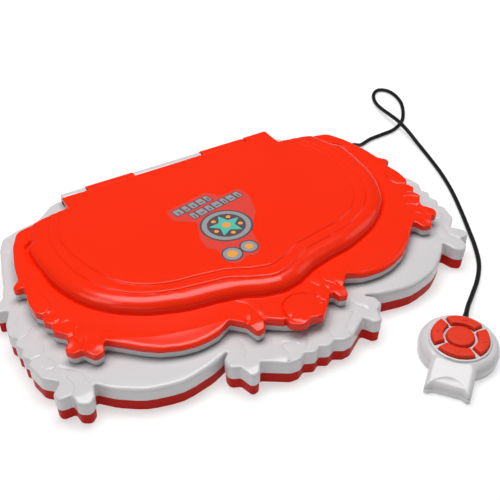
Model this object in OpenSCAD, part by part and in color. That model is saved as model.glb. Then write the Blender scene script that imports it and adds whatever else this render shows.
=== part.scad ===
// Toy learning laptop: a clamshell with a scalloped outline, a screen in its lid,
// a keyboard of 26 letter keys in its base, and a small wired mouse.
// Millimetres. Origin on the flat underside, +Z up, +X right, +Y towards the hinge.

/* [Base] */
// Height of the red lower shell, where the two base shells meet
base_split = 8; // [7:0.5:8.5]
// Height of the white rim of the base
base_top = 17; // [17:0.1:17.4]
// Wall and deck thickness of the moulded shells
wall = 2; // [1.6:0.1:2.2]
// How far the side claw reaches from the centre on the left
claw_left = 146; // [142:0.5:148]
// How far the side claw reaches from the centre on the right
claw_right = 142; // [140:0.5:148]
// How far the front of the base's outline sits to the left of the lid's
base_shift = 1.5; // [0:0.1:2]

/* [Lid] */
// Height of the lid's inner face above the table
lid_bottom = 18; // [18:0.1:18.4]
// Height where the lid's white and red shells meet
lid_split = 22.3; // [22:0.1:22.6]
// Height of the red rim of the lid
lid_rim = 27; // [26.6:0.1:27.4]
// Rise of the pillow above the rim at its front
pillow_rise = 8; // [6:0.5:8]

/* [Hinge] */
// Distance of the hinge axis behind the origin
hinge_y = 96; // [95.5:0.1:96.2]
// Height of the hinge axis
hinge_z = 20.5; // [20.3:0.1:20.6]
// Radius of the hinge pins
pin_r = 1.5; // [1.2:0.1:1.8]
// Radial running clearance between a pin and a lid barrel
pin_play = 0.06; // [0.03:0.01:0.1]

/* [Keys] */
// Spacing of the keys along a row
key_pitch_x = 15.5; // [15.2:0.1:16]
// Spacing of the rows
key_pitch_y = 14; // [13.8:0.1:14.4]
// Width of a key cap
key_w = 12.4; // [11.5:0.1:12.6]
// Depth of a key cap
key_d = 10.4; // [9.5:0.1:10.8]
// Height of the key tops above the table
key_top = 16.2; // [15.6:0.1:16.6]
// Gap round a key or button in its hole
key_gap = 0.4; // [0.35:0.05:0.5]

/* [Batteries] */
// Length of one AAA cell
cell_l = 44.5; // [44.5:0.1:44.5]
// Diameter of one AAA cell
cell_d = 10.5; // [10.5:0.1:10.5]

/* [Mouse] */
// Radius of the round body
mouse_r = 23; // [22.5:0.1:23.5]
// Height of the top shell
mouse_h = 11.6; // [11.2:0.1:12]
// Height where the mouse's two shells meet
mouse_split = 3.5; // [3:0.1:4]
// Outer radius of the ring of buttons
ring_r = 16.2; // [15.8:0.1:16.4]
// Inner radius of the ring of buttons
ring_in = 10; // [9.8:0.1:10.4]
// Radius of the centre button
centre_r = 7.9; // [7.4:0.1:8]
// Height of the button tops above the table
button_top = 14; // [13.6:0.1:14.4]

/* [Cord] */
// Diameter of the mouse cord
cord_d = 3; // [2.6:0.1:3]

/* [Hidden] */
arc_step = 18;
letters = ["q", "w", "e", "r", "t", "y", "u", "i", "o",
           "p", "a", "s", "d", "f", "g", "h", "j", "k",
           "l", "z", "x", "c", "v", "b", "n", "m"];

red = [0.9, 0.16, 0.08];
white = [0.9, 0.89, 0.9];
steel = [0.7, 0.7, 0.72];
black = [0.12, 0.12, 0.13];
board_green = [0.1, 0.4, 0.22];
rubber_grey = [0.75, 0.75, 0.76];

deck = base_top - wall;

// Half outlines, [x, y, corner radius] from the front centre to the back
function base_half(reach) = [
    [0, -97, 0.6], [4.5, -99.6, 3], [9.8, -97.2, 0.6], [14.5, -99.8, 3], [20, -99.4, 4],
    [34, -90.6, 1.2], [37.5, -96.4, 3], [42.8, -97.6, 3], [45.2, -88.8, 1.4],
    [51, -86.3, 4], [50.6, -79.5, 5], [43, -73.6, 0.7],
    [56, -79, 20], [76, -83, 30], [96, -78, 30], [109, -69, 20], [117.6, -60.4, 1],
    [120, -68.5, 4], [124.3, -72.2, 3.5], [129.7, -69, 4], [130.4, -62.4, 1],
    [137.3, -62.3, 3.5], [139, -56.5, 4], [132.4, -50.5, 1.2],
    [140.3, -43, 6], [143, -31, 3], [140.9, -27.6, 0.8], [143.9, -23, 2.5],
    [141.8, -17.8, 0.8], [144.6, -13, 2.5], [142.1, -8.7, 0.8], [145.2, -2.5, 4],
    [143.6, 6, 8], [138.8, 15.8, 1.2], [reach, 18, 2.4], [reach - 0.6, 22, 2.4],
    [138.6, 28.5, 4], [135.5, 39, 15], [132.5, 54, 20], [128, 72, 8], [123.5, 81.5, 4],
    [112, 86.3, 3], [98, 89.2, 6], [85, 100.4, 4]];
base_back = 102.4;
lid_back = 87;
// The lid's front centre from left to right, of its outer and its inner shell,
// and its half outline from there to the back
lid_nose = [
    [-22.2, -72.3, 1.2], [-13.4, -78.9, 0.9], [-11.2, -77.6, 0.5], [-12.2, -80.8, 2.5],
    [-10.4, -84.2, 3], [-6.3, -86.6, 3], [-2.6, -86.5, 3], [0.6, -84.7, 0.6], [3.4, -85.6, 2.5],
    [7.4, -86.5, 3], [11.3, -83.4, 4], [22.8, -71, 1.5]];
lid_inner_nose = [[-22.2, -72.6, 1.2], [-12, -79.7, 6], [-4, -83.3, 5], [9.8, -82.5, 6], [22.8, -71, 1.5]];
lid_half = [
    [24.5, -77.5, 2], [30, -79, 2.5], [32.2, -70, 2], [39, -63, 1.5],
    [48, -67.6, 15], [62, -69.6, 40], [82, -64, 50], [105.1, -42.6, 1.2],
    [107.5, -50, 3], [113.3, -51.5, 3], [117.6, -44.2, 1.2], [122.6, -44.4, 3.4],
    [126.2, -39, 3.6], [120.6, -33, 1.5], [121.3, -28.5, 3], [126.3, -23, 2.6],
    [124.9, -17.5, 0.9], [128.4, -13.5, 2.6], [126.8, -8, 0.9], [129.9, -4, 3],
    [130.6, 6, 25], [128.2, 19, 1.5], [133.6, 19.4, 2.2], [134, 23.4, 2.4],
    [129.3, 27, 2], [127.5, 40, 30], [122.6, 58, 14], [116, 71, 8], [92, 76.4, 30],
    [79, 78, 0.6], [79, lid_back, 1]];
pillow_half = [
    [0, -58.7, 6], [12, -56.3, 8], [24, -50.8, 15], [38, -47.4, 30], [56, -44.6, 30],
    [76, -37.2, 30], [91, -27, 25], [101, -16.5, 25], [108.5, -3, 40], [113, 13, 40],
    [115.2, 34, 40], [114.6, 51, 6], [108.5, 62, 1.5], [106, 77, 0.5]];
base_hollow_half = [
    [0, -84, 1], [24, -84, 8], [36, -70, 8], [56, -73, 20], [80, -76, 30], [106, -60, 12],
    [132, -42, 10], [136, 4, 20], [132, 34, 25], [124, 70, 8], [108, 82, 6], [88, 86, 6]];
lid_hollow_half = [
    [0, -68, 1], [18, -66, 8], [38, -59, 8], [60, -64, 20], [82, -58, 20], [101, -40, 8],
    [116, -30, 8], [122, -14, 8], [126, 10, 15], [123, 38, 25], [113, 66, 8], [88, 73, 6]];
decal_points = [
    [-30, 37, 4], [-29.5, 25, 4], [-18, 16, 3], [-24.5, -1, 5], [-25, -11, 4], [-20, -14, 4],
    [-21.5, -27, 5], [-15, -33, 5], [-8, -28, 4], [-2.5, -31, 5], [3, -25, 5], [7, -7, 5],
    [19, 7, 5], [24, 24, 4], [24, 37, 4], [8, 35, 3], [3, 44.5, 4]];

// Corner outlines, pockets and fasteners
base_screw_places = [for (s = [-1, 1]) each [[s * 98, -62], [s * 125, 8], [s * 104, 72]]];
lid_screw_places = [for (s = [-1, 1]) each [[s * 96, -34], [s * 116, 30], [s * 34, -53], [s * 72, 66]]];
board_screw_places = [for (s = [-1, 1]) each [[s * 74, -50], [s * 74, 4]]];
door_screw_places = [[-33.5, 56], [33.5, 56]];
mouse_screw_places = [[-26, 0], [14, 14], [14, -14]];

key_rows = [9, 9, 8];
key_row_y = -9.5;
flange_z = 9.9;
tray_floor = 13.5;
tray_under = 11.5;

bay = [56, 38];
bay_y = 56;
bay_roof = 14.4;
door_size = [74, 44];
cell_pitch = 12.4;
cell_z = 7.8;

speaker_place = [-76, 44];
switch_place = [76, 44];
switch_travel = 5;
window_size = [86, 50];
window_y = 22;

lower_inset = 0.45;
inner_inset = 0.35;
barrel_x = [26, 60];
barrel_r = 5.2;
knuckle_r = 4.7;
plate_w = 158;
plate_y = 91.5;
plate_end_y = 97.2;
plate_under = 25.4;
barrel_arm_z = 24;

mouse_place = [73.5, -127];
mouse_turn = 40;
relief_z = 6.2;
relief_in = 3.4;
relief_out = 4;
relief_reach = mouse_r + relief_out;
mouse_cord_end = [
    mouse_place[0] + relief_reach * cos(mouse_turn),
    mouse_place[1] + relief_reach * sin(mouse_turn),
    relief_z];
rib_half = 6;
// Dome of the mouse's top shell, as [radius, height] points
mouse_profile = [
    [0, mouse_split], [mouse_r - 0.4, mouse_split], [mouse_r, 5], [mouse_r - 0.5, 7.2],
    [mouse_r - 1.8, 9.1], [mouse_r - 3.6, 10.2], [mouse_r - 5.2, 10.6], [mouse_r - 5.2, mouse_h],
    [0, mouse_h]];
tail_end = 6.2;
tail_points = [
    [-12, -12.8, 2], [-20, -12.6, 3], [-36.3, -12.5, 1.3], [-36.5, -10.4, 1],
    [-34.8, -7.8, 4], [-34.6, 0, 20], [-34.8, 7.8, 4], [-36.5, 10.4, 1],
    [-36.3, 12.5, 1.3], [-20, 12.6, 3], [-12, 12.8, 2]];
// Side view of the tail's upper part, as [x, height] points
tail_slope = [[-12, mouse_split], [-12, 10], [-18, 10], [-38, tail_end], [-38, mouse_split]];

gland_place = [126.5, 68, 7.6];
gland_l = 14;
gland_turn = 20;
gland_end = gland_place + gland_l * [cos(gland_turn), sin(gland_turn), 0];
// Route of the mouse cord, from the gland to the mouse
cord_route = [
    gland_end, [144, 74.3, 6.6], [148.5, 75.7, 4.1], [153, 77, 2.1], [158.5, 78.9, 1.5],
    [165, 80.8, 1.5],
    [176, 81.6, 1.5], [187, 82.4, 1.5], [196.5, 86, 1.5], [205, 92, 1.5], [213, 101.5, 1.5],
    [220.5, 114, 1.5], [223.8, 127, 1.5], [222.5, 136.5, 1.5], [217, 140.4, 1.5],
    [210.5, 137.5, 1.5], [205, 130.5, 1.6], [201, 121.5, 2.2], [198.4, 110, 3.4],
    [197.2, 98, 4.6], [196.3, 85.6, 5], [194.5, 72, 4.2], [192, 57, 2.4], [187.6, 37, 1.5],
    [181.4, 15.5, 1.5], [173.6, -5, 1.5], [164.2, -25, 1.5], [154.5, -44, 1.5],
    [146, -60, 1.5], [136.5, -74.5, 1.5], [125, -86, 1.8], [111.5, -96.2, 3], [101, -103.9, 4.8],
    mouse_cord_end];

// Geometry functions
function unit(v) = v / norm(v);
function flat(p) = [p[0], p[1]];
function turn_between(t) = t > 180 ? t - 360 : t < -180 ? t + 360 : t;

// The arc that rounds corner b between its neighbours a and c
function round_corner(a, b, c) =
    let (
        u = unit(flat(a) - flat(b)),
        v = unit(flat(c) - flat(b)),
        half = acos(max(-1, min(1, u * v))) / 2
    )
    half > 88 ? [flat(b)] :
    let (
        room = 0.48 * min(norm(flat(a) - flat(b)), norm(flat(c) - flat(b))),
        cut = min(b[2] / tan(half), room),
        r = cut * tan(half),
        centre = flat(b) + unit(u + v) * (r / sin(half)),
        first = flat(b) + u * cut - centre,
        last = flat(b) + v * cut - centre,
        start = atan2(first[1], first[0]),
        turn = turn_between(atan2(last[1], last[0]) - start),
        steps = max(1, ceil(abs(turn) / arc_step))
    )
    [for (i = [0:steps]) centre + r * [cos(start + turn * i / steps), sin(start + turn * i / steps)]];

function rounded(points) =
    let (n = len(points))
    [for (i = [0:n - 1]) each round_corner(points[(i + n - 1) % n], points[i], points[(i + 1) % n])];

function flipped(half) =
    [for (i = [len(half) - 1:-1:0]) if (half[i][0] > 0) [-half[i][0], half[i][1], half[i][2]]];
function mirrored(half) = concat(half, flipped(half));

// Moves the front of an outline to the left, and its back less and less
function leaned(points) =
    [for (p = points) [p[0] - base_shift * min(1, max(0, (60 - p[1]) / 40)), p[1], p[2]]];

// Moves every side of a counter-clockwise outline inwards by d
function inset(points, d) =
    let (n = len(points))
    [for (i = [0:n - 1])
        let (
            a = flat(points[(i + n - 1) % n]),
            b = flat(points[i]),
            c = flat(points[(i + 1) % n]),
            s = unit(b - a),
            t = unit(c - b),
            into_s = [-s[1], s[0]],
            mid = unit(into_s + [-t[1], t[0]]),
            p = b + mid * (d / (mid * into_s)),
            grow = s[0] * t[1] - s[1] * t[0] > 0 ? -d : d
        )
        [p[0], p[1], max(0.3, points[i][2] + grow)]];

function box_points(w, d, r) = [[-w / 2, -d / 2, r], [w / 2, -d / 2, r], [w / 2, d / 2, r], [-w / 2, d / 2, r]];

base_outline = leaned(concat(
    base_half(claw_right), [[79, base_back, 2], [-79, base_back, 2]], flipped(base_half(claw_left))));
lid_outline = concat(mirrored(lid_half), lid_nose);
lid_inner_outline = concat(mirrored(lid_half), lid_inner_nose);
pillow_outline = mirrored(pillow_half);

// Height of the pillow above the rim: full at the front, low at the hinge
function pillow_height(y) = 1 + (pillow_rise - 1) * (1 - pow(max(0, y + 40) / 118, 2));

// Basic solids
module slab(points, z0, z1) {
    translate([0, 0, z0])
        linear_extrude(z1 - z0)
            polygon(rounded(points));
}

module post(place, r, z0, z1) {
    translate([place[0], place[1], z0])
        cylinder(r = r, h = z1 - z0, $fn = 32);
}

module plate(place, size, r, z0, z1) {
    translate([place[0], place[1], 0])
        slab(box_points(size[0], size[1], r), z0, z1);
}

// A pan head screw pointing up, its head's underside at the given height
module screw(place, head_r, head_h, shank_r, z, length) {
    translate([place[0], place[1], z])
        difference() {
            union() {
                translate([0, 0, -head_h])
                    cylinder(r = head_r, h = head_h, $fn = 32);
                cylinder(r = shank_r, h = length, $fn = 32);
            }
            for (a = [0, 90])
                rotate([0, 0, a])
                    translate([-head_r * 0.6, -0.25, -head_h - 0.1])
                        cube([head_r * 1.2, 0.5, 0.6]);
        }
}

module along_x(x0, x1, r) {
    translate([x0, hinge_y, hinge_z])
        rotate([0, 90, 0])
            cylinder(r = r, h = x1 - x0, $fn = 48);
}

// Space under a surface that follows the pillow, lowered by drop
module under_pillow(drop) {
    steps = 12;
    rotate([90, 0, 90])
        translate([0, 0, -125])
            linear_extrude(250)
                polygon(concat(
                    [[80, 20], [-60, 20]],
                    [for (i = [0:steps])
                        let (y = -60 + 140 * i / steps)
                        [y, lid_rim + pillow_height(y) - drop]]));
}

module in_mouse() {
    translate([mouse_place[0], mouse_place[1], 0])
        rotate([0, 0, mouse_turn])
            children();
}

// ---- Base ----
module base_bottom_shell() {
    color(red)
        difference() {
            union() {
                difference() {
                    slab(inset(base_outline, lower_inset), 0, base_split);
                    slab(mirrored(base_hollow_half), wall, base_split + 1);
                }
                plate([0, bay_y], [bay[0] + 3, bay[1] + 3], 2, wall, bay_roof);
                plate([0, bay_y], [door_size[0] + 5, door_size[1] + 5], 3, wall - 0.5, wall + 1.8);
                for (p = base_screw_places)
                    post(p, 3.6, wall - 0.5, base_split);
                for (p = board_screw_places)
                    post(p, 2.6, wall - 0.5, 5);
                for (p = door_screw_places)
                    post(p, 3.2, 1, 9);
            }
            plate([0, bay_y], bay, 1, -1, bay_roof - 1.2);
            plate([0, bay_y], [door_size[0] + 0.7, door_size[1] + 0.7], 3.3, -1, 2.1);
            for (p = base_screw_places) {
                post(p, 3, -1, 4);
                post(p, 1.5, 3, base_split + 1);
            }
            for (p = board_screw_places)
                post(p, 1.1, 2.6, 6);
            for (p = door_screw_places)
                post(p, 1.25, 1, 8);
            gland_bore();
        }
}

module along_gland() {
    translate(gland_place)
        rotate([0, 90, gland_turn])
            children();
}

module gland_bore() {
    along_gland()
        translate([0, 0, -8])
            cylinder(r = 3.3, h = 20, $fn = 32);
}

module key_places() {
    for (row = [0:len(key_rows) - 1])
        for (column = [0:key_rows[row] - 1])
            translate([(column - (key_rows[row] - 1) / 2) * key_pitch_x, key_row_y - row * key_pitch_y, 0])
                children();
}

module speaker_holes() {
    for (ring = [0:3])
        for (i = [0:max(0, ring * 6 - 1)])
            rotate([0, 0, i * 60 / max(1, ring)])
                translate([ring * 4.4, 0, deck - 1])
                    cylinder(r = 1.2, h = wall + 2, $fn = 16);
}

module base_knuckle(x0, x1) {
    along_x(x0, x1, knuckle_r);
    translate([x0, hinge_y - 3.6, base_top - 1])
        cube([x1 - x0, 2 * 3.6, hinge_z - base_top]);
}

module base_top_shell() {
    color(white)
        difference() {
            union() {
                difference() {
                    slab(base_outline, base_split, base_top);
                    slab(mirrored(base_hollow_half), base_split - 1, deck);
                }
                plate([0, key_row_y - key_pitch_y], [152, 52], 7, tray_under, deck + 1);
                for (p = base_screw_places)
                    post(p, 3.4, base_split, deck + 0.5);
                base_knuckle(-barrel_x[0] + 0.4, barrel_x[0] - 0.4);
                for (s = [-1, 1])
                    base_knuckle(min(s * (barrel_x[1] + 0.4), s * 77), max(s * (barrel_x[1] + 0.4), s * 77));
                translate([speaker_place[0], speaker_place[1], deck - 3])
                    difference() {
                        cylinder(r = 20.5, h = 3.5, $fn = 64);
                        translate([0, 0, -1])
                            cylinder(r = 19.1, h = 4, $fn = 64);
                    }
            }
            plate([0, key_row_y - key_pitch_y], [147, 47], 5, tray_floor, base_top + 1);
            key_places()
                plate([0, 0], [key_w + 2 * key_gap, key_d + 2 * key_gap], 2.4, tray_under - 1, tray_floor + 1);
            for (s = [-1, 1]) {
                along_x(min(s * barrel_x[0], s * barrel_x[1]) - 0.4, max(s * barrel_x[0], s * barrel_x[1]) + 0.4,
                    barrel_r + 0.5);
                along_x(min(s * 18, s * 80), max(s * 18, s * 80), pin_r);
            }
            for (p = base_screw_places)
                post(p, 1.25, base_split - 1, 14);
            translate([speaker_place[0], speaker_place[1], 0])
                speaker_holes();
            plate(switch_place, [6 + switch_travel + 0.8, 4.8], 2.3, deck - 1, base_top + 1);
            gland_bore();
        }
}

module battery_door() {
    color(red)
        difference() {
            union() {
                plate([0, bay_y], door_size, 3, 0, wall);
                for (s = [-1, 1])
                    plate([s * 8, bay_y + 18], [6, 1.6], 0.5, 1, 4);
            }
            for (p = door_screw_places) {
                post(p, 2.6, -1, 1.1);
                post(p, 1.35, 0, 3);
            }
            for (i = [-3:3])
                plate([i * 3, bay_y - 13], [1.2, 6], 0.5, -1, 0.5);
        }
}

module battery_door_screws() {
    color(steel)
        for (p = door_screw_places)
            screw(p, 2.4, 0.8, 1.15, 1.1, 5.4);
}

module batteries() {
    color("goldenrod")
        for (i = [-1:1])
            translate([0, bay_y + i * cell_pitch, cell_z])
                rotate([0, i == 0 ? -90 : 90, 0])
                    translate([0, 0, -cell_l / 2]) {
                        cylinder(r = cell_d / 2, h = cell_l - 1, $fn = 48);
                        cylinder(r = 1.9, h = cell_l, $fn = 32);
                    }
}

module battery_contacts() {
    color(steel)
        for (i = [-1:1])
            for (s = [-1, 1])
                translate([0, bay_y + i * cell_pitch, cell_z]) {
                    translate([s * 27.6 - 0.2, -4.5, -4.5])
                        cube([0.4, 9, 9]);
                    rotate([0, s * 90, 0])
                        translate([0, 0, cell_l / 2])
                            cylinder(r = 2.6, h = 27.4 - cell_l / 2, $fn = 32);
                }
}

module main_board() {
    color(board_green)
        difference() {
            union() {
                plate([0, key_row_y - key_pitch_y], [154, 60], 2, 5, 6.4);
                plate([switch_place[0] - 2, switch_place[1] - 18], [24, 48], 2, 5, 6.4);
                plate([-40, 2], [12, 5], 0.5, 6.4, 8.4);
            }
            for (p = board_screw_places)
                post(p, 1.3, 4, 7);
        }
}

module main_board_screws() {
    color(steel)
        for (p = board_screw_places)
            screw_down(p, 2.2, 0.9, 1.1, 6.4, 3.6);
}

// The same screw pointing down, its head's underside at height z
module screw_down(place, head_r, head_h, shank_r, z, length) {
    translate([place[0], place[1], z])
        mirror([0, 0, 1])
            screw([0, 0], head_r, head_h, shank_r, 0, length);
}

module keypad_membrane() {
    color(rubber_grey) {
        plate([0, key_row_y - key_pitch_y], [140, 46], 2, 6.4, 7.2);
        key_places()
            translate([0, 0, 7])
                cylinder(r1 = 3.6, r2 = 2.2, h = 1.5, $fn = 32);
    }
}

module speaker() {
    color(black)
        translate([speaker_place[0], speaker_place[1], 0])
            difference() {
                union() {
                    translate([0, 0, 12])
                        cylinder(r = 18.8, h = deck - 12, $fn = 64);
                    translate([0, 0, 7.5])
                        cylinder(r = 9.5, h = 4.6, $fn = 48);
                }
                translate([0, 0, 13])
                    cylinder(r1 = 8, r2 = 17, h = 3, $fn = 48);
            }
}

module power_switch_body() {
    color(steel)
        difference() {
            plate(switch_place, [18, 9], 0.5, 6.4, 12.4);
            plate(switch_place, [4 + switch_travel, 3], 0.4, 10, 13);
        }
}

module power_slider() {
    color(red)
        translate([-switch_travel / 2, 0, 0]) {
            plate(switch_place, [5.8, 4], 1.9, deck - 0.8, 17.3);
            plate(switch_place, [14, 7], 1, 12.8, deck - 0.4);
            plate(switch_place, [3, 2], 0.4, 11, 13);
        }
}

module base_screws() {
    color(steel)
        for (p = base_screw_places)
            screw(p, 2.7, 1.2, 1.25, 4, 9);
}

module hinge_pins() {
    color(steel)
        for (s = [-1, 1])
            along_x(min(s * 19, s * 75), max(s * 19, s * 75), pin_r);
}

// Tapered relief that grips the cord where it leaves the base
module cord_gland() {
    color(black)
        along_gland() {
            translate([0, 0, -4])
                cylinder(r = 3.25, h = 7, $fn = 32);
            translate([0, 0, -5.4])
                cylinder(r = 4.2, h = 1.4, $fn = 32);
            translate([0, 0, 3])
                cylinder(r1 = 3.25, r2 = 1.9, h = gland_l - 3, $fn = 32);
        }
}

// ---- Lid ----
module lid_barrel(x0, x1) {
    along_x(x0, x1, barrel_r);
    translate([x0, plate_y - 3, barrel_arm_z])
        cube([x1 - x0, hinge_y - plate_y + 3, lid_rim - 0.9 - barrel_arm_z]);
}

module lid_outer_shell() {
    color(red)
        difference() {
            union() {
                difference() {
                    union() {
                        slab(lid_outline, lid_split, lid_rim);
                        intersection() {
                            slab(pillow_outline, lid_rim - 1, lid_rim + pillow_rise + 1);
                            under_pillow(2);
                        }
                        intersection() {
                            slab(inset(pillow_outline, 4), lid_rim - 1, lid_rim + pillow_rise + 1);
                            under_pillow(0);
                        }
                    }
                    slab(mirrored(lid_hollow_half), lid_split - 1, lid_rim - wall);
                    intersection() {
                        slab(inset(pillow_outline, 6), lid_split, lid_rim + pillow_rise);
                        under_pillow(wall);
                    }
                }
                translate([-plate_w / 2, 70, plate_under])
                    cube([plate_w, plate_y - 70, lid_rim - plate_under]);
                translate([barrel_x[1] + 0.4, plate_y - 3, plate_under])
                    cube([plate_w / 2 - barrel_x[1] - 0.4, plate_end_y - plate_y + 3, lid_rim - plate_under]);
                for (s = [-1, 1])
                    lid_barrel(min(s * barrel_x[0], s * barrel_x[1]), max(s * barrel_x[0], s * barrel_x[1]));
                for (p = lid_screw_places)
                    post(p, 3.2, lid_split, p[1] > 50 ? lid_rim + 1 : lid_rim - wall + 0.5);
            }
            along_x(-61, 61, pin_r + pin_play);
            for (p = lid_screw_places)
                post(p, 1.25, lid_split - 1, 25.4);
        }
    color(red)
        intersection() {
            slab(lid_outline, lid_rim - 0.5, lid_rim + 0.8);
            post([0, -74.5], 12, lid_rim - 0.5, lid_rim + 0.8);
        }
}

module lid_inner_shell() {
    color(white)
        difference() {
            union() {
                difference() {
                    slab(inset(lid_inner_outline, inner_inset), lid_bottom, lid_split);
                    slab(mirrored(lid_hollow_half), lid_bottom + wall, lid_split + 1);
                }
                for (p = lid_screw_places)
                    post(p, 3.4, lid_bottom + 1, lid_split);
            }
            plate([0, window_y], window_size, 4, lid_bottom - 1, lid_split + 1);
            for (p = lid_screw_places) {
                post(p, 2.9, lid_bottom - 1, lid_bottom + 1.4);
                post(p, 1.5, lid_bottom, lid_split + 1);
            }
        }
}

module screen_window() {
    color([0.7, 0.78, 0.8, 0.5])
        plate([0, window_y], [window_size[0] + 6, window_size[1] + 6], 5, lid_bottom + wall, lid_bottom + wall + 1.2);
}

module lcd_module() {
    color([0.55, 0.62, 0.5]) {
        plate([0, window_y], [82, 50], 1, lid_bottom + wall + 1.2, lid_bottom + wall + 3.4);
        plate([0, window_y], [88, 54], 1, lid_bottom + wall + 3.4, lid_bottom + wall + 4.6);
    }
}

module display_cable() {
    color("ivory")
        plate([0, window_y + 38], [14, 22], 0.4, 24, 24.4);
}

module lid_screws() {
    color(steel)
        for (p = lid_screw_places)
            screw(p, 2.6, 1, 1.25, lid_bottom + 1.4, 5.6);
}

// Thin badge that follows the pillow's top
module lid_decal() {
    color([0.55, 0.6, 0.62])
        intersection() {
            slab(decal_points, lid_rim, lid_rim + pillow_rise + 2);
            difference() {
                under_pillow(-0.25);
                under_pillow(0);
            }
        }
}

// ---- Mouse ----
module mouse_slab(r, grow, z0, z1) {
    translate([0, 0, z0])
        cylinder(r = r, h = z1 - z0, $fn = 96);
    slab(inset(tail_points, -grow), z0, z1);
}

module mouse_bottom_shell() {
    color(white)
        in_mouse()
            difference() {
                union() {
                    difference() {
                        mouse_slab(mouse_r - 0.4, -0.2, 0, mouse_split);
                        post([0, 0], mouse_r - 3, 1.5, mouse_split + 1);
                    }
                    for (p = mouse_screw_places)
                        post(p, 2.6, 1, mouse_split);
                }
                for (p = mouse_screw_places) {
                    post(p, 2, -1, 1.4);
                    post(p, 1.1, 1, mouse_split + 1);
                }
            }
}

module mouse_top_shell() {
    color(white)
        in_mouse()
            difference() {
                union() {
                    rotate([0, 0, 30])
                        rotate_extrude($fn = 96)
                            polygon(mouse_profile);
                    slab(tail_points, mouse_split, tail_end - 1.2);
                    intersection() {
                        slab(inset(tail_points, 1), mouse_split, mouse_h);
                        rotate([90, 0, 0])
                            linear_extrude(height = 2 * mouse_r, center = true)
                                polygon(tail_slope);
                    }
                }
                difference() {
                    rotate([0, 0, 30])
                        post([0, 0], mouse_r - 3, mouse_split - 1, 9.7);
                    for (p = mouse_screw_places)
                        post(p, 2.6, mouse_split - 2, 10);
                }
                for (i = [0:3])
                    rotate([0, 0, i * 90])
                        arc_prism(ring_r + key_gap, ring_in - key_gap, rib_half - 2, mouse_split, mouse_h + 1);
                post([0, 0], centre_r + key_gap, mouse_split, mouse_h + 1);
                for (p = mouse_screw_places)
                    post(p, 0.9, mouse_split - 1, 5.2);
                strain_bore();
            }
}

// A quarter ring between two radii, its ends set back by the rib's half angle
module arc_prism(r_out, r_in, back, z0, z1) {
    sweep = 90 - 2 * back;
    translate([0, 0, z0])
        rotate([0, 0, -sweep / 2])
            rotate_extrude(angle = sweep, $fn = 96)
                translate([r_in, 0])
                    square([r_out - r_in, z1 - z0]);
}

module strain_bore() {
    translate([mouse_r - 6, 0, relief_z])
        rotate([0, 90, 0])
            cylinder(r = 2.1, h = 10, $fn = 32);
}

module mouse_strain_relief() {
    color(black)
        in_mouse()
            translate([mouse_r - relief_in, 0, relief_z])
                rotate([0, 90, 0]) {
                    cylinder(r = 2.05, h = relief_in, $fn = 32);
                    translate([0, 0, relief_in])
                        cylinder(r1 = 2.05, r2 = 1.6, h = relief_out, $fn = 32);
                }
}

module mouse_board() {
    color(board_green)
        in_mouse()
            difference() {
                post([0, 0], 18.4, 3.6, 4.6);
                for (p = mouse_screw_places)
                    post(p, 3, 2, 6);
            }
}

module mouse_membrane() {
    color(rubber_grey)
        in_mouse() {
            difference() {
                post([0, 0], 16, 4.6, 5.3);
                for (p = mouse_screw_places)
                    post(p, 3, 2, 6);
            }
            for (i = [0:3])
                rotate([0, 0, i * 90])
                    translate([12.8, 0, 5.2])
                        cylinder(r1 = 2.6, r2 = 1.6, h = 1, $fn = 32);
            translate([0, 0, 5.2])
                cylinder(r1 = 2.6, r2 = 1.6, h = 1, $fn = 32);
        }
}

module mouse_screws() {
    color(steel)
        in_mouse()
            for (p = mouse_screw_places)
                screw(p, 1.8, 0.7, 0.9, 1.4, 3.6);
}

module ring_button(angle) {
    color([0.9, 0.24, 0.13])
        in_mouse()
            rotate([0, 0, angle]) {
                arc_prism(ring_r, ring_in, rib_half, 7.6, button_top);
                arc_prism(ring_r + 1.2, ring_in + 0.2, rib_half - 1, 7.6, 9.3);
            }
}

module mouse_button_centre() {
    color([0.9, 0.24, 0.13])
        in_mouse() {
            post([0, 0], centre_r, 7.6, button_top);
            post([0, 0], centre_r + 0.8, 7.6, 9.3);
        }
}

// ---- Keys ----
module key_cap(index) {
    row = index < key_rows[0] ? 0 : index < key_rows[0] + key_rows[1] ? 1 : 2;
    column = index - row * key_rows[0];
    color([0.92, 0.3, 0.15])
        translate([(column - (key_rows[row] - 1) / 2) * key_pitch_x, key_row_y - row * key_pitch_y, 0]) {
            plate([0, 0], [key_w, key_d], 2, flange_z, key_top);
            plate([0, 0], [key_w + 2, key_d + 2], 2.6, flange_z, tray_under - 0.4);
        }
}

// ---- Cord ----
// Point on a smooth curve through the route, between points i and i + 1
function route_point(route, i, t) =
    let (
        n = len(route),
        a = route[max(0, i - 1)],
        b = route[i],
        c = route[min(n - 1, i + 1)],
        d = route[min(n - 1, i + 2)]
    )
    b + 0.5 * t * ((c - a) + t * ((2 * a - 5 * b + 4 * c - d) + t * (3 * b - a - 3 * c + d)));

function smooth_route(route) =
    concat([for (i = [0:len(route) - 2]) for (t = [0, 0.5]) route_point(route, i, t)], [route[len(route) - 1]]);

module tube(path, r, sides) {
    n = len(path);
    rings = [for (i = [0:n - 1])
        let (
            t = unit(path[min(n - 1, i + 1)] - path[max(0, i - 1)]),
            side = unit(cross(t, [0, 0, 1])),
            up = cross(side, t)
        )
        for (k = [0:sides - 1])
            path[i] + r * (cos(360 * k / sides) * side + sin(360 * k / sides) * up)];
    skin = [for (i = [0:n - 2]) for (k = [0:sides - 1])
        [i * sides + k, i * sides + (k + 1) % sides, (i + 1) * sides + (k + 1) % sides, (i + 1) * sides + k]];
    polyhedron(
        rings,
        concat([[for (k = [sides - 1:-1:0]) k]], skin, [[for (k = [0:sides - 1]) (n - 1) * sides + k]]));
}

module mouse_cord() {
    color(black)
        tube(smooth_route(cord_route), cord_d / 2, 8);
}

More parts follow.
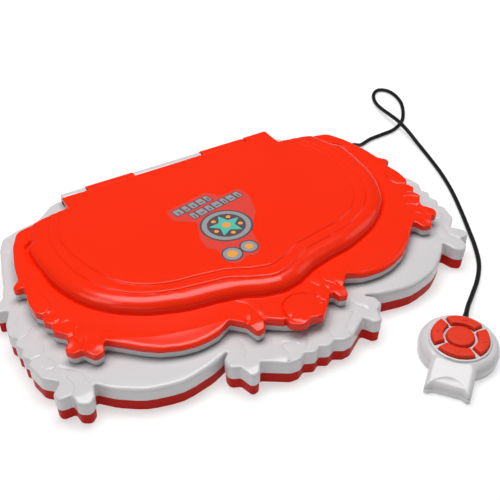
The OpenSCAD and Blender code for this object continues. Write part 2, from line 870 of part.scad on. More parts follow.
base_bottom_shell();
base_top_shell();
battery_door();
battery_door_screws();
batteries();
battery_contacts();
main_board();
main_board_screws();
keypad_membrane();
speaker();
power_switch_body();
power_slider();
base_screws();
hinge_pins();
cord_gland();
mouse_cord();
lid_outer_shell();
lid_inner_shell();
screen_window();
lcd_module();
display_cable();
lid_screws();
lid_decal();
mouse_top_shell();
mouse_bottom_shell();
mouse_board();
mouse_membrane();
mouse_screws();
mouse_strain_relief();
ring_button(0);  // mouse_button_up
ring_button(90);  // mouse_button_left
ring_button(180);  // mouse_button_down
ring_button(270);  // mouse_button_right
mouse_button_centre();
for (i = [0:len(letters) - 1])
    key_cap(i);
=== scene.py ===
"""Looks of a toy learning laptop and its small wired mouse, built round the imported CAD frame.

Lengths in this script are millimetres until a mesh is made; Blender's objects are in metres.
"""
import math

import bpy
import numpy as np
from mathutils import Matrix, Vector
from mathutils.geometry import delaunay_2d_cdt


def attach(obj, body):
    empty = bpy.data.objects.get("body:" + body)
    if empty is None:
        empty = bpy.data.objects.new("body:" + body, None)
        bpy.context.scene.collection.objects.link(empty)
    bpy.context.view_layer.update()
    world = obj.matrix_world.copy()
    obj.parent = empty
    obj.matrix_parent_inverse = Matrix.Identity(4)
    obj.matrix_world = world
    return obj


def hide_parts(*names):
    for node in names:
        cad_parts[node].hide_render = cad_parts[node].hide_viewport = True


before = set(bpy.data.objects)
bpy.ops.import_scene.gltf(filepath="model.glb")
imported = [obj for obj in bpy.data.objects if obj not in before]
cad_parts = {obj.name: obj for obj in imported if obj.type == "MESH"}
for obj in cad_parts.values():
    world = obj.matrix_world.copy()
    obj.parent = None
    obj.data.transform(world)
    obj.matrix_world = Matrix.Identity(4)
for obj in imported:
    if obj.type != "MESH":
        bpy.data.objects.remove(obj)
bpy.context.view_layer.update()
MM = 0.001
SHARP = math.radians(38)

# Heights of the shells, as the CAD has them
BASE_SPLIT, BASE_TOP = 8, 17
LID_BOTTOM, LID_SPLIT, LID_RIM = 18, 22.3, 27
HINGE_Y, HINGE_Z = 96, 20.5
LID_BACK = 87
BARREL_X, BARREL_R, BARREL_GAP = (26, 60), 5.2, 0.4
KNUCKLE_R, KNUCKLE_END, SEAT_R = 4.7, 77, 5.7
WALL = 2


# ---- Scene ----
def new_object(name, data):
    obj = bpy.data.objects.new(name, data)
    bpy.context.scene.collection.objects.link(obj)
    return obj


def set_inputs(node, **values):
    """Sets a node's inputs, with an underscore for each space in their names."""
    for name, value in values.items():
        node.inputs[name.replace("_", " ")].default_value = value


def make_camera():
    """A camera at the photograph's azimuth and elevation, aimed at the lid's middle."""
    azimuth, elevation, distance = math.radians(-30.03), math.radians(39.42), 0.51285
    target = Vector((0, -17, 27)) * MM
    back = Vector((
        math.sin(azimuth) * math.cos(elevation),
        -math.cos(azimuth) * math.cos(elevation),
        math.sin(elevation)))
    data = bpy.data.cameras.new("camera")
    data.sensor_width = 36
    data.lens = 61.16
    data.shift_x, data.shift_y = 0.0017, 0.0016
    data.clip_start, data.clip_end = 0.02, 20
    camera = new_object("camera", data)
    camera.location = target + back * distance
    camera.rotation_euler = (-back).to_track_quat("-Z", "Y").to_euler()
    bpy.context.scene.camera = camera


def area_light(name, place, size, power, target=(0, 0, 0)):
    """A soft light in metres, aimed at a target."""
    data = bpy.data.lights.new(name, "AREA")
    data.shape = "RECTANGLE"
    data.size, data.size_y = size
    data.energy = power
    light = new_object(name, data)
    light.location = place
    light.rotation_euler = (Vector(target) - Vector(place)).to_track_quat("-Z", "Y").to_euler()


def make_studio():
    """A pale floor, an even pale surround and large soft lights."""
    scene = bpy.context.scene
    scene.view_settings.view_transform = "Standard"
    world = bpy.data.worlds.new("surround")
    scene.world = world
    world.use_nodes = True
    set_inputs(world.node_tree.nodes["Background"], Color=(0.95, 0.97, 1, 1), Strength=0.08)
    area_light("overhead", (0.1, 0.25, 1.3), (1.1, 0.7), 16.5, (0.02, 0, 0))
    area_light("left", (-0.85, 0.1, 1.05), (0.55, 0.55), 3)
    area_light("left_front", (-1.1, -0.9, 0.9), (0.8, 0.6), 1.2)
    area_light("right", (1.3, -0.2, 0.8), (0.6, 0.8), 1.8)
    floor_mesh = bpy.data.meshes.new("floor")
    reach, depth = 6, -0.0004
    corners = ((-reach, -reach), (reach, -reach), (reach, reach), (-reach, reach))
    floor_mesh.from_pydata([(*corner, depth) for corner in corners], [], [(0, 1, 2, 3)])
    floor = new_object("floor", floor_mesh)
    paint = bpy.data.materials.new("floor")
    paint.use_nodes = True
    set_inputs(paint.node_tree.nodes["Principled BSDF"], Base_Color=(0.5, 0.5, 0.5, 1), Roughness=0.9,
               Specular_IOR_Level=0, Emission_Color=(1, 1, 1, 1), Emission_Strength=0.55)
    floor_mesh.materials.append(paint)


# ---- Materials ----
def plastic(name, colour, roughness, spread=0.03, gloss=0.5, alpha=1, metal=0):
    """Moulded plastic or metal: faint colour drift, uneven gloss and a fine surface ripple."""
    material = bpy.data.materials.new(name)
    material.use_nodes = True
    tree = material.node_tree
    shader = tree.nodes["Principled BSDF"]
    place = tree.nodes.new("ShaderNodeTexCoord")
    drift = noise(tree, place, 22, 2)
    ripple = noise(tree, place, 420, 3)
    tint = tree.nodes.new("ShaderNodeMix")
    tint.data_type = "RGBA"
    set_inputs(tint, A=(*[c * (1 - spread) for c in colour], 1),
               B=(*[min(1, c * (1 + spread)) for c in colour], 1))
    uneven = tree.nodes.new("ShaderNodeMapRange")
    set_inputs(uneven, To_Min=roughness * 0.85, To_Max=roughness * 1.2)
    bump = tree.nodes.new("ShaderNodeBump")
    set_inputs(bump, Strength=0.35, Distance=0.02 * MM)
    for source, output, target, socket in (
            (drift, "Fac", tint, "Factor"), (tint, "Result", shader, "Base Color"),
            (ripple, "Fac", uneven, "Value"), (uneven, "Result", shader, "Roughness"),
            (ripple, "Fac", bump, "Height"), (bump, "Normal", shader, "Normal")):
        tree.links.new(source.outputs[output], target.inputs[socket])
    set_inputs(shader, Specular_IOR_Level=gloss, Metallic=metal, Alpha=alpha)
    return material


def noise(tree, place, scale, detail):
    texture = tree.nodes.new("ShaderNodeTexNoise")
    set_inputs(texture, Scale=scale, Detail=detail)
    tree.links.new(place.outputs["Object"], texture.inputs["Vector"])
    return texture


# ---- Outlines ----
# Half outlines, (x, y, corner radius) from the front centre to the back, as the CAD has them
def base_half(reach):
    return [
        (0, -97, 0.6), (4.5, -99.6, 3), (9.8, -97.2, 0.6), (14.5, -99.8, 3), (20, -99.4, 4),
        (34, -90.6, 1.2), (37.5, -96.4, 3), (42.8, -97.6, 3), (45.2, -88.8, 1.4),
        (51, -86.3, 4), (50.6, -79.5, 5), (43, -73.6, 0.7),
        (56, -79, 20), (76, -83, 30), (96, -78, 30), (109, -69, 20), (117.6, -60.4, 1),
        (120, -68.5, 4), (124.3, -72.2, 3.5), (129.7, -69, 4), (130.4, -62.4, 1),
        (137.3, -62.3, 3.5), (139, -56.5, 4), (132.4, -50.5, 1.2),
        (140.3, -43, 6), (143, -31, 3), (140.9, -27.6, 0.8), (143.9, -23, 2.5),
        (141.8, -17.8, 0.8), (144.6, -13, 2.5), (142.1, -8.7, 0.8), (145.2, -2.5, 4),
        (143.6, 6, 8), (138.8, 15.8, 1.2), (reach, 18, 2.4), (reach - 0.6, 22, 2.4),
        (138.6, 28.5, 4), (135.5, 39, 15), (132.5, 54, 20), (128, 72, 8), (123.5, 81.5, 4),
        (112, 86.3, 3), (98, 89.2, 6), (85, 100.4, 4)]


# The lid's front centre from left to right, and its half outline from there to the hinge
LID_NOSE = [
    (-22.2, -72.3, 1.2), (-13.4, -78.9, 0.9), (-11.2, -77.6, 0.5), (-12.2, -80.8, 2.5),
    (-10.4, -84.2, 3), (-6.3, -86.6, 3), (-2.6, -86.5, 3), (0.6, -84.7, 0.6), (3.4, -85.6, 2.5),
    (7.4, -86.5, 3), (11.3, -83.4, 4), (22.8, -71, 1.5)]
LID_INNER_NOSE = [(-22.2, -72.6, 1.2), (-12, -79.7, 6), (-4, -83.3, 5), (9.8, -82.5, 6), (22.8, -71, 1.5)]
LID_FRONT_HALF = [
    (24.5, -77.5, 2), (30, -79, 2.5), (32.2, -70, 2), (39, -63, 1.5),
    (48, -67.6, 15), (62, -69.6, 40), (82, -64, 50), (105.1, -42.6, 1.2),
    (107.5, -50, 3), (113.3, -51.5, 3), (117.6, -44.2, 1.2), (122.6, -44.4, 3.4),
    (126.2, -39, 3.6), (120.6, -33, 1.5), (121.3, -28.5, 3), (126.3, -23, 2.6),
    (124.9, -17.5, 0.9), (128.4, -13.5, 2.6), (126.8, -8, 0.9), (129.9, -4, 3),
    (130.6, 6, 25), (128.2, 19, 1.5), (133.6, 19.4, 2.2), (134, 23.4, 2.4),
    (129.3, 27, 2), (127.5, 40, 30), (122.6, 58, 14), (116, 71, 8), (92, 76.4, 30)]
LID_HALF = LID_FRONT_HALF + [(79, 78, 0.6), (79, LID_BACK, 1)]
# The red shell reaches over the hinge as a thin plate, further at the right-hand end
PLATE_Y, PLATE_END_Y = 91.5, 97.2
PLATE_OVER_END = [(79, 78, 0.6), (79, PLATE_END_Y, 1), (60.4, PLATE_END_Y, 0.5), (60.4, PLATE_Y, 0.5)]
PLATE_CORNER = [(79, 78, 0.6), (79, PLATE_Y, 1)]
PILLOW_HALF = [
    (0, -58.7, 6), (12, -56.3, 8), (24, -50.8, 15), (38, -47.4, 30), (56, -44.6, 30),
    (76, -37.2, 30), (91, -27, 25), (101, -16.5, 25), (108.5, -3, 40), (113, 13, 40),
    (115.2, 34, 40), (115, 52, 5), (110.8, 57, 3), (104, 75, 20), (102, 96, 0.5)]
# The two fine steps on the pillow, outer and inner
STEP_HALVES = (
    [(0, -50, 8), (5, -49, 6), (16.5, -44.3, 8), (26.5, -38.6, 12), (42, -36, 30), (57.5, -33, 30),
     (70, -28.6, 25), (80, -22.5, 25), (89, -13, 25), (95.5, -1, 25), (100, 12, 30), (102.4, 30, 30),
     (102, 48, 20), (98.3, 61, 20), (92, 76, 15), (88, 96, 1)],
    [(0, -42, 8), (12, -38.3, 8), (24, -32.4, 12), (41, -29, 30), (57, -26.6, 25), (70, -21.3, 20),
     (80.5, -12.5, 25), (87, -1, 25), (91.5, 12, 30), (95, 27, 30), (96.5, 44, 25), (93.8, 57, 20),
     (88, 72, 20), (84, 96, 1)])
DECAL_POINTS = [
    (-30, 37, 4), (-29.5, 25, 4), (-18, 16, 3), (-24.5, -1, 5), (-25, -11, 4), (-20, -14, 4),
    (-21.5, -27, 5), (-15, -33, 5), (-8, -28, 4), (-2.5, -31, 5), (3, -25, 5), (7, -7, 5),
    (19, 7, 5), (24, 24, 4), (24, 37, 4), (8, 35, 3), (3, 44.5, 4)]
ARC_STEP = math.radians(14)
TOUCHING = 0.05


def lean(y):
    """How far the base's outline sits to the left of its half outlines, less towards the hinge."""
    return 1.5 * np.clip((60 - y) / 40, 0, 1)


def leaned(line):
    return np.column_stack([line[:, 0] - lean(line[:, 1]), line[:, 1]])


def flipped(half):
    return [(-x, y, r) for x, y, r in reversed(half) if x > 0]


def mirrored(half):
    return half + flipped(half)


def box_points(place, size, r):
    """Corner points of a rectangle's outline about a place."""
    x, y, w, d = *place, size[0] / 2, size[1] / 2
    return [(x - w, y - d, r), (x + w, y - d, r), (x + w, y + d, r), (x - w, y + d, r)]


def circle(place, r, sides):
    turn = np.arange(sides) * 2 * math.pi / sides
    return np.stack([place[0] + r * np.cos(turn), place[1] + r * np.sin(turn)], 1)


def polar(r, degrees, place=(0, 0)):
    """The point at a distance and in a direction from a place."""
    a = math.radians(degrees)
    return place[0] + r * math.cos(a), place[1] + r * math.sin(a)


def unit(v):
    return v / np.hypot(*v)


def round_corner(a, b, c):
    """The arc that rounds corner b between its neighbours a and c."""
    corner = np.array(b[:2], float)
    u, v = unit(np.array(a[:2]) - corner), unit(np.array(c[:2]) - corner)
    half = math.acos(max(-1, min(1, u @ v))) / 2
    if half > math.radians(88):
        return [corner]
    room = 0.48 * min(math.dist(a[:2], b[:2]), math.dist(c[:2], b[:2]))
    cut = min(b[2] / math.tan(half), room)
    r = cut * math.tan(half)
    centre = corner + unit(u + v) * r / math.sin(half)
    first, last = corner + u * cut - centre, corner + v * cut - centre
    start = math.atan2(first[1], first[0])
    turn = (math.atan2(last[1], last[0]) - start + math.pi) % (2 * math.pi) - math.pi
    steps = max(1, math.ceil(abs(turn) / ARC_STEP))
    angles = start + turn * np.arange(steps + 1) / steps
    return list(centre + r * np.stack([np.cos(angles), np.sin(angles)], 1))


def rounded(points):
    """The outline of (x, y, corner radius) points with its corners rounded."""
    return np.array([
        p for i in range(len(points))
        for p in round_corner(points[i - 1], points[i], points[(i + 1) % len(points)])])


def inset(points, d):
    """The outline with every side moved inwards by d."""
    moved = []
    for i, b in enumerate(points):
        a, c = points[i - 1], points[(i + 1) % len(points)]
        s = unit(np.array(b[:2]) - np.array(a[:2]))
        t = unit(np.array(c[:2]) - np.array(b[:2]))
        into = np.array([-s[1], s[0]])
        mid = unit(into + np.array([-t[1], t[0]]))
        p = np.array(b[:2]) + mid * d / (mid @ into)
        grow = -d if s[0] * t[1] - s[1] * t[0] > 0 else d
        moved.append((p[0], p[1], max(0.3, b[2] + grow)))
    return moved


def matched_loops(points, insets, gap=1.6):
    """The rounded outline at several insets, point for point alike, with no side longer than gap."""
    rings = [rounded(inset(points, d)) for d in insets]
    sides = np.hypot(*(np.roll(rings[0], -1, 0) - rings[0]).T)
    counts = np.maximum(1, np.ceil(sides / gap)).astype(int)
    return [np.concatenate([
        a + (b - a) * np.linspace(0, 1, n, endpoint=False)[:, None]
        for a, b, n in zip(ring, np.roll(ring, -1, 0), counts)]) for ring in rings]


def loop_of(points, gap=1.6):
    return matched_loops(points, [0], gap)[0]


def box_loop(place, size, r):
    return loop_of(box_points(place, size, r))


def curve(points, gap=0.8):
    """A smooth line through a few points, with steps of about gap."""
    p = [np.array(q, float) for q in points]
    p = [2 * p[0] - p[1], *p, 2 * p[-1] - p[-2]]
    out = []
    for a, b, c, d in zip(p, p[1:], p[2:], p[3:]):
        for t in np.arange(0, 1, gap / max(gap, np.linalg.norm(c - b))):
            out.append(b + 0.5 * t * ((c - a) + t * (
                (2 * a - 5 * b + 4 * c - d) + t * (3 * b - a - 3 * c + d))))
    return np.array(out + [p[-2]])


# ---- Distances ----
def distance(xy, line, closed=True):
    """Distance of each point from a line."""
    a, b = (line, np.roll(line, -1, 0)) if closed else (line[:-1], line[1:])
    along = b - a
    square = np.maximum((along ** 2).sum(1), 1e-12)
    best = np.empty(len(xy))
    block = max(1, 1500000 // len(a))
    for i in range(0, len(xy), block):
        off = xy[i:i + block, None, :] - a[None]
        t = np.clip((off * along).sum(2) / square, 0, 1)
        off -= t[..., None] * along
        best[i:i + block] = np.sqrt((off ** 2).sum(2).min(1))
    return best


def in_box(xy, line, margin):
    """Which points are in the box round a line, widened by a margin."""
    return np.all((xy > line.min(0) - margin) & (xy < line.max(0) + margin), 1)


def inside(xy, loop):
    x, y = xy.T
    result = np.zeros(len(xy), bool)
    for (x0, y0), (x1, y1) in zip(loop, np.roll(loop, -1, 0)):
        if y0 != y1:
            crosses = (y0 > y) != (y1 > y)
            result ^= crosses & (x < x0 + (y - y0) * (x1 - x0) / (y1 - y0))
    return result


def depth_in(xy, loop):
    """Distance from a closed outline, positive inside."""
    return np.where(inside(xy, loop), 1, -1) * distance(xy, loop)


def folded(xy):
    """The points with those on the left mirrored to the right."""
    return np.column_stack([np.abs(xy[:, 0]), xy[:, 1]])


def ease(t):
    t = np.clip(t, 0, 1)
    return t * t * (3 - 2 * t)


def edge_drop(d, width, height=None):
    """How far a rounded edge has fallen at distance d from its wall."""
    t = 1 - np.clip(d / width, 0, 1)
    return (width if height is None else height) * (1 - np.sqrt(np.clip(1 - t * t, 0, 1)))


# ---- Skins and pieces ----
def spaced(points, gap):
    """The points, each further than gap from those kept before it on a fine raster."""
    seen, kept = set(), []
    for p in points:
        cell = (round(p[0] / gap), round(p[1] / gap))
        if cell not in seen:
            seen.add(cell)
            kept.append(p)
    return np.array(kept).reshape(-1, 2)


def normals(ahead):
    """Unit vectors to the left of each direction."""
    return np.stack([-ahead[:, 1], ahead[:, 0]], 1) / np.maximum(np.hypot(*ahead.T), 1e-9)[:, None]


def in_hole(points, hole, margin=0):
    """Which points are inside a hole's outline or within a margin of it."""
    hit = in_box(points, hole, margin)
    near = points[hit]
    hit[hit] = inside(near, hole) | (distance(near, hole) < margin)
    return hit


def filling(loops, rows, grid, lines):
    """Free points inside the first loop and outside the rest: rows beside each loop, rows beside each
    feature, which is a (line, rows) pair, and a grid."""
    candidates = []
    for k, loop in enumerate(loops):
        others = loops if len(loops) < 4 else [loop]
        normal = normals(np.roll(loop, -1, 0) - np.roll(loop, 1, 0))
        side = 1 if k == 0 else -1
        for d in rows:
            row = loop + side * normal * d
            near = np.min([distance(row, other) for other in others], 0)
            candidates.append(row[near > 0.96 * d])
    for line, line_rows in lines:
        normal = normals(np.gradient(line, axis=0))
        candidates += [line + normal * d for d in line_rows]
    low, high = loops[0].min(0), loops[0].max(0)
    xs, ys = np.arange(low[0], high[0], grid), np.arange(low[1], high[1], grid)
    mesh = np.stack(np.meshgrid(xs, ys), -1).reshape(-1, 2)
    mesh = mesh[inside(mesh, loops[0])]
    far = distance(mesh, loops[0]) > max([0, *rows]) + 0.45 * grid
    for line, line_rows in lines:
        near = in_box(mesh, line, 2 * grid)
        near[near] = distance(mesh[near], line, False) < max(line_rows) + 0.45 * grid
        far &= ~near
    candidates.append(mesh[far])
    points = spaced(np.concatenate(candidates), 0.22)
    good = inside(points, loops[0]) & (distance(points, loops[0]) > TOUCHING)
    for hole in loops[1:]:
        good &= ~in_hole(points, hole, TOUCHING)
    return points[good]


def skin(loops, height, rows, grid, lines=()):
    """A surface over the first loop less the others, as (points with heights, triangles, loop sizes).
    The loops' points come first."""
    points = np.concatenate([*loops, filling(loops, rows, grid, lines)])
    edges, start = [], 0
    for loop in loops:
        n = len(loop)
        edges += [(start + i, start + (i + 1) % n) for i in range(n)]
        start += n
    verts, _, faces, origins, _, _ = delaunay_2d_cdt([Vector(p) for p in points], edges, [], 0, 1e-6)
    source = [o[0] if o else -1 for o in origins]
    tris = np.array([[source[i] for i in f] for f in faces])
    tris = tris[(tris >= 0).all(1)]
    middle = points[tris].mean(1)
    good = inside(middle, loops[0])
    for hole in loops[1:]:
        good &= ~in_hole(middle, hole)
    tris = tris[good]
    a, b, c = (points[tris[:, k]] for k in range(3))
    upside_down = np.cross(b - a, c - a) < 0
    tris[upside_down] = tris[upside_down][:, ::-1]
    return np.column_stack([points, height(points)]), tris, [len(loop) for loop in loops]


def closed_mesh(top, bottom, steps=()):
    """Joins two skins, whose loops match point for point, with walls. steps are shares of the wall's
    height at which it has an extra ring."""
    (upper, upper_tris, sizes), (lower, lower_tris, _) = top, bottom
    verts = [upper, lower]
    faces = [tuple(t) for t in upper_tris]
    faces += [tuple(t[::-1] + len(upper)) for t in lower_tris]
    count, start = len(upper) + len(lower), 0
    for k, n in enumerate(sizes):
        rings = [np.arange(start, start + n)]
        for share in steps:
            verts.append(upper[start:start + n] * (1 - share) + lower[start:start + n] * share)
            rings.append(np.arange(count, count + n))
            count += n
        rings.append(np.arange(start, start + n) + len(upper))
        for above, below in zip(rings, rings[1:]):
            quads = zip(above, below, np.roll(below, -1), np.roll(above, -1))
            faces += [quad if k == 0 else quad[::-1] for quad in quads]
        start += n
    return np.concatenate(verts), faces


def piece(name, parts, materials, body, replaced):
    """A piece that rides on a body in place of a node. Its parts are (vertices in mm, faces), with a
    material's index where that isn't 0."""
    verts, faces, paints, count = [], [], [], 0
    for part_verts, part_faces, *paint in parts:
        verts.append(np.asarray(part_verts, float) * MM)
        faces += [tuple(int(i) + count for i in f) for f in part_faces]
        paints += (paint or [0]) * len(part_faces)
        count += len(part_verts)
    mesh = bpy.data.meshes.new(name)
    mesh.from_pydata(np.concatenate(verts).tolist(), [], faces)
    mesh.polygons.foreach_set("material_index", paints)
    mesh.polygons.foreach_set("use_smooth", [True] * len(faces))
    mesh.update()
    mesh.set_sharp_from_angle(angle=SHARP)
    for material in materials:
        mesh.materials.append(material)
    obj = new_object(name, mesh)
    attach(obj, body)
    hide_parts(replaced)
    return obj


def turned(profile, n):
    """A solid of n sides, turned about Z from a (radius, height) profile whose ends are on the axis."""
    verts, faces, rings = [], [], []
    for r, z in profile:
        if r < 1e-6:
            rings.append([len(verts)] * n)
            verts.append((0, 0, z))
        else:
            rings.append(list(range(len(verts), len(verts) + n)))
            verts += [(*polar(r, 360 * i / n), z) for i in range(n)]
    for low, high in zip(rings, rings[1:]):
        quads = zip(low, np.roll(low, -1), np.roll(high, -1), high)
        faces += [list(dict.fromkeys(quad)) for quad in quads if len(set(quad)) > 2]
    return np.array(verts, float), faces


def spin(degrees, axis="Z"):
    return Matrix.Rotation(math.radians(degrees), 4, axis)


def moved(part, matrix):
    """A (vertices, faces) part after a 4x4 matrix in millimetres."""
    m = np.array(matrix)
    return np.asarray(part[0]) @ m[:3, :3].T + m[:3, 3], part[1]


def block(outline, z0, z1, edge, foot=0, gap=3):
    """A flat solid over a rounded outline with rounded upper edges, and lower ones if foot is given."""
    rings = [(0, z0)]
    if foot:
        rings = [(foot * (1 - s), z0 + foot * (1 - math.sqrt(1 - (1 - s) ** 2))) for s in (0, 0.4, 1)]
    rings += [(edge * s, z1 - edge + edge * math.sqrt(1 - (1 - s) ** 2)) for s in (0, 0.29, 0.62, 1)]
    loops = matched_loops(outline, [d for d, _ in rings], gap)
    n = len(loops[0])
    verts = np.concatenate([np.column_stack([loop, np.full(n, z)]) for loop, (_, z) in zip(loops, rings)])
    faces = [list(range(n))[::-1]]
    for k in range(len(rings) - 1):
        low = np.arange(n) + k * n
        faces += zip(low, np.roll(low, -1), np.roll(low, -1) + n, low + n)
    faces.append(list(range((len(rings) - 1) * n, len(rings) * n)))
    return verts, faces


make_camera()
make_studio()


# ---- Finishes ----
RED = plastic("red_shell", (0.93, 0.026, 0.003), 0.2, gloss=0.33)
# A darker, duller copy of the red shell's finish, used on the lower shell and the battery door: painted
# shade for the low part that sits in shadow
RED_PAINTED_SHADE = plastic("red_lower_shell_painted_shade", (0.5, 0.012, 0.007), 0.36, gloss=0.06)
WHITE = plastic("white_shell", (0.645, 0.63, 0.64), 0.22, spread=0.015)
BUTTON_RED = plastic("button_red", (0.76, 0.034, 0.006), 0.5, gloss=0.25)
SLIDER_RED = plastic("slider_red", (0.7, 0.03, 0.012), 0.35)
KEY_WHITE = plastic("key_white", (0.78, 0.77, 0.76), 0.33, spread=0.02)
PRINT_DARK = plastic("print_dark", (0.03, 0.035, 0.05), 0.4)
WINDOW = plastic("window", (0.55, 0.62, 0.6), 0.05, spread=0.02, alpha=0.28)
LCD_GREEN = plastic("lcd_green", (0.28, 0.34, 0.24), 0.3)
STEEL = plastic("screw_steel", (0.62, 0.61, 0.6), 0.3, metal=1)
CELL_WRAP = plastic("cell_wrap", (0.6, 0.34, 0.06), 0.3)
BOARD = plastic("board_green", (0.02, 0.16, 0.07), 0.4)
SILICONE = plastic("silicone", (0.5, 0.5, 0.52), 0.55)
SPEAKER_BLACK = plastic("speaker_black", (0.03, 0.03, 0.032), 0.5)
RIBBON = plastic("ribbon", (0.62, 0.58, 0.48), 0.4)
CORD_BLACK = plastic("cord_black", (0.006, 0.006, 0.006), 0.42, gloss=0.25)
FILM = plastic("badge_film", (0.74, 0.062, 0.045), 0.22, spread=0.02)
BADGE_GREY = plastic("badge_grey", (0.3, 0.32, 0.34), 0.3)
BADGE_DARK = plastic("badge_dark", (0.11, 0.07, 0.085), 0.3)
BADGE_TEAL = plastic("badge_teal", (0.1, 0.5, 0.42), 0.3)
BADGE_ORANGE = plastic("badge_orange", (0.85, 0.36, 0.06), 0.3)

# ---- Lid ----
LID_EDGE, LID_EDGE_LOW = matched_loops(
    LID_FRONT_HALF + PLATE_OVER_END + flipped(LID_FRONT_HALF + PLATE_CORNER) + LID_NOSE, [0, 0])
PILLOW = loop_of(mirrored(PILLOW_HALF))
STEPS = [loop_of(mirrored(half)) for half in STEP_HALVES]
PLATE_UNDER, PLATE_ROOT_Y = 25.4, LID_BACK + 0.2
SOFT_ROWS = (-0.5, 0, 0.5)
# Creases of the sloping crescents along the front arcs, and fine engraved lines, right half
CRESCENT_HALF = [(104, -42.5), (93, -46.5), (84, -51.5), (72, -55.5), (57.5, -59), (46, -60.5), (39, -63)]
LID_LINE_HALVES = (
    [(27.5, -53), (24.8, -57), (24.6, -61.5), (27, -66), (31, -70)],
    [(122.5, 12), (120, 2), (121.5, -4), (127, -8.5)],
    [(124, -23.5), (120, -19), (117.5, -18.5)],
    [(114, -26), (117.3, -29.5), (117.5, -34), (117, -38), (118, -43)],
    [(17.5, -61), (18.6, -64)])
# Valleys that part the claws, running in from the outline, right half
LID_VALLEYS = (
    [(117.4, -44.6), (115, -40.5), (112.4, -37)],
    [(105.6, -43.4), (106.8, -40.4)],
    [(124.2, -17.4), (121, -16.6)],
    [(126.2, -8), (122.6, -7.4)],
    [(120.9, -31), (118.5, -30.5)],
    [(22.2, -71.2), (22.6, -67.8)],
    [(31.6, -70.2), (30.2, -67)])
DISC_PLACE, DISC_R = (1.4, -75.4), 11.3
SIDE_SCREW = (116, 30)
PILLOW_RISE, STEP_RISE = 8, 0.45
NOSE_BLOCK = np.array([(-21, -73.2), (-14.5, -78)])
# Claw tips that slope down beyond a line: the line's two ends, the claw's middle and its radius
CLAW_FACETS = (
    ((21, -73.2), (33, -72.2), (27.5, -76), 8),
    ((105.5, -43.5), (116.5, -45.8), (110.5, -48.5), 6.5),
    ((117.2, -45), (121.5, -33.5), (124, -40), 6.5),
    ((129.6, 17.5), (129.6, 28.5), (133, 22.5), 6))


def both_sides(lines):
    """Smooth lines through each list of points, on both sides."""
    out = []
    for line in lines:
        out.append(curve(line))
        out.append(curve([(-x, y) for x, y in line]))
    return out


LID_LINES = both_sides(LID_LINE_HALVES)
LID_LINES.append(curve([(15, -65.5), (13.4, -69.3), (13.6, -73.4), (14.8, -76)]))
VALLEYS = both_sides(LID_VALLEYS)
DISC_RING = circle(DISC_PLACE, DISC_R + 0.5, 72)
DISC_RING = DISC_RING[(DISC_RING[:, 1] > -79)]
DISC_RING = DISC_RING[np.argsort(np.arctan2(DISC_RING[:, 1] - DISC_PLACE[1], DISC_RING[:, 0]))]
CRESCENT = curve(CRESCENT_HALF)
NOTCH = curve([(115.8, 53), (114.2, 55.6), (111.8, 57)])
CRESCENT_AREA = np.concatenate([CRESCENT, [(39, -90), (104, -90)]])[::-1]


def pillow_rise(y):
    """Rise of the pillow's top: full at the front, low at the hinge and nothing at the plate's end."""
    rise = 1 + (PILLOW_RISE - 1) * (1 - (np.clip(y + 40, 0, 118) / 118) ** 2)
    return rise * ease((PLATE_Y - 1 - y) / 14)


def groove(xy, line, depth, width):
    """Depth of a fine engraved line at each point."""
    fall = np.zeros(len(xy))
    near = in_box(xy, line, 4 * width)
    fall[near] = depth * np.exp(-(distance(xy[near], line, False) / width) ** 2)
    return fall


def claw_fall(xy, facets, slope):
    """How far the claws' tips slope down beyond their creases."""
    half = folded(xy)
    fall = np.zeros(len(xy))
    for start, end, middle, radius in facets:
        along = unit(np.array(end) - np.array(start))
        out = np.array([along[1], -along[0]])
        if out @ (np.array(middle) - np.array(start)) < 0:
            out = -out
        beyond = np.clip((half - np.array(start)) @ out, 0, None)
        near = np.hypot(*(half - np.array(middle)).T) < radius
        fall = np.maximum(fall, np.where(near, slope * beyond, 0))
    return fall


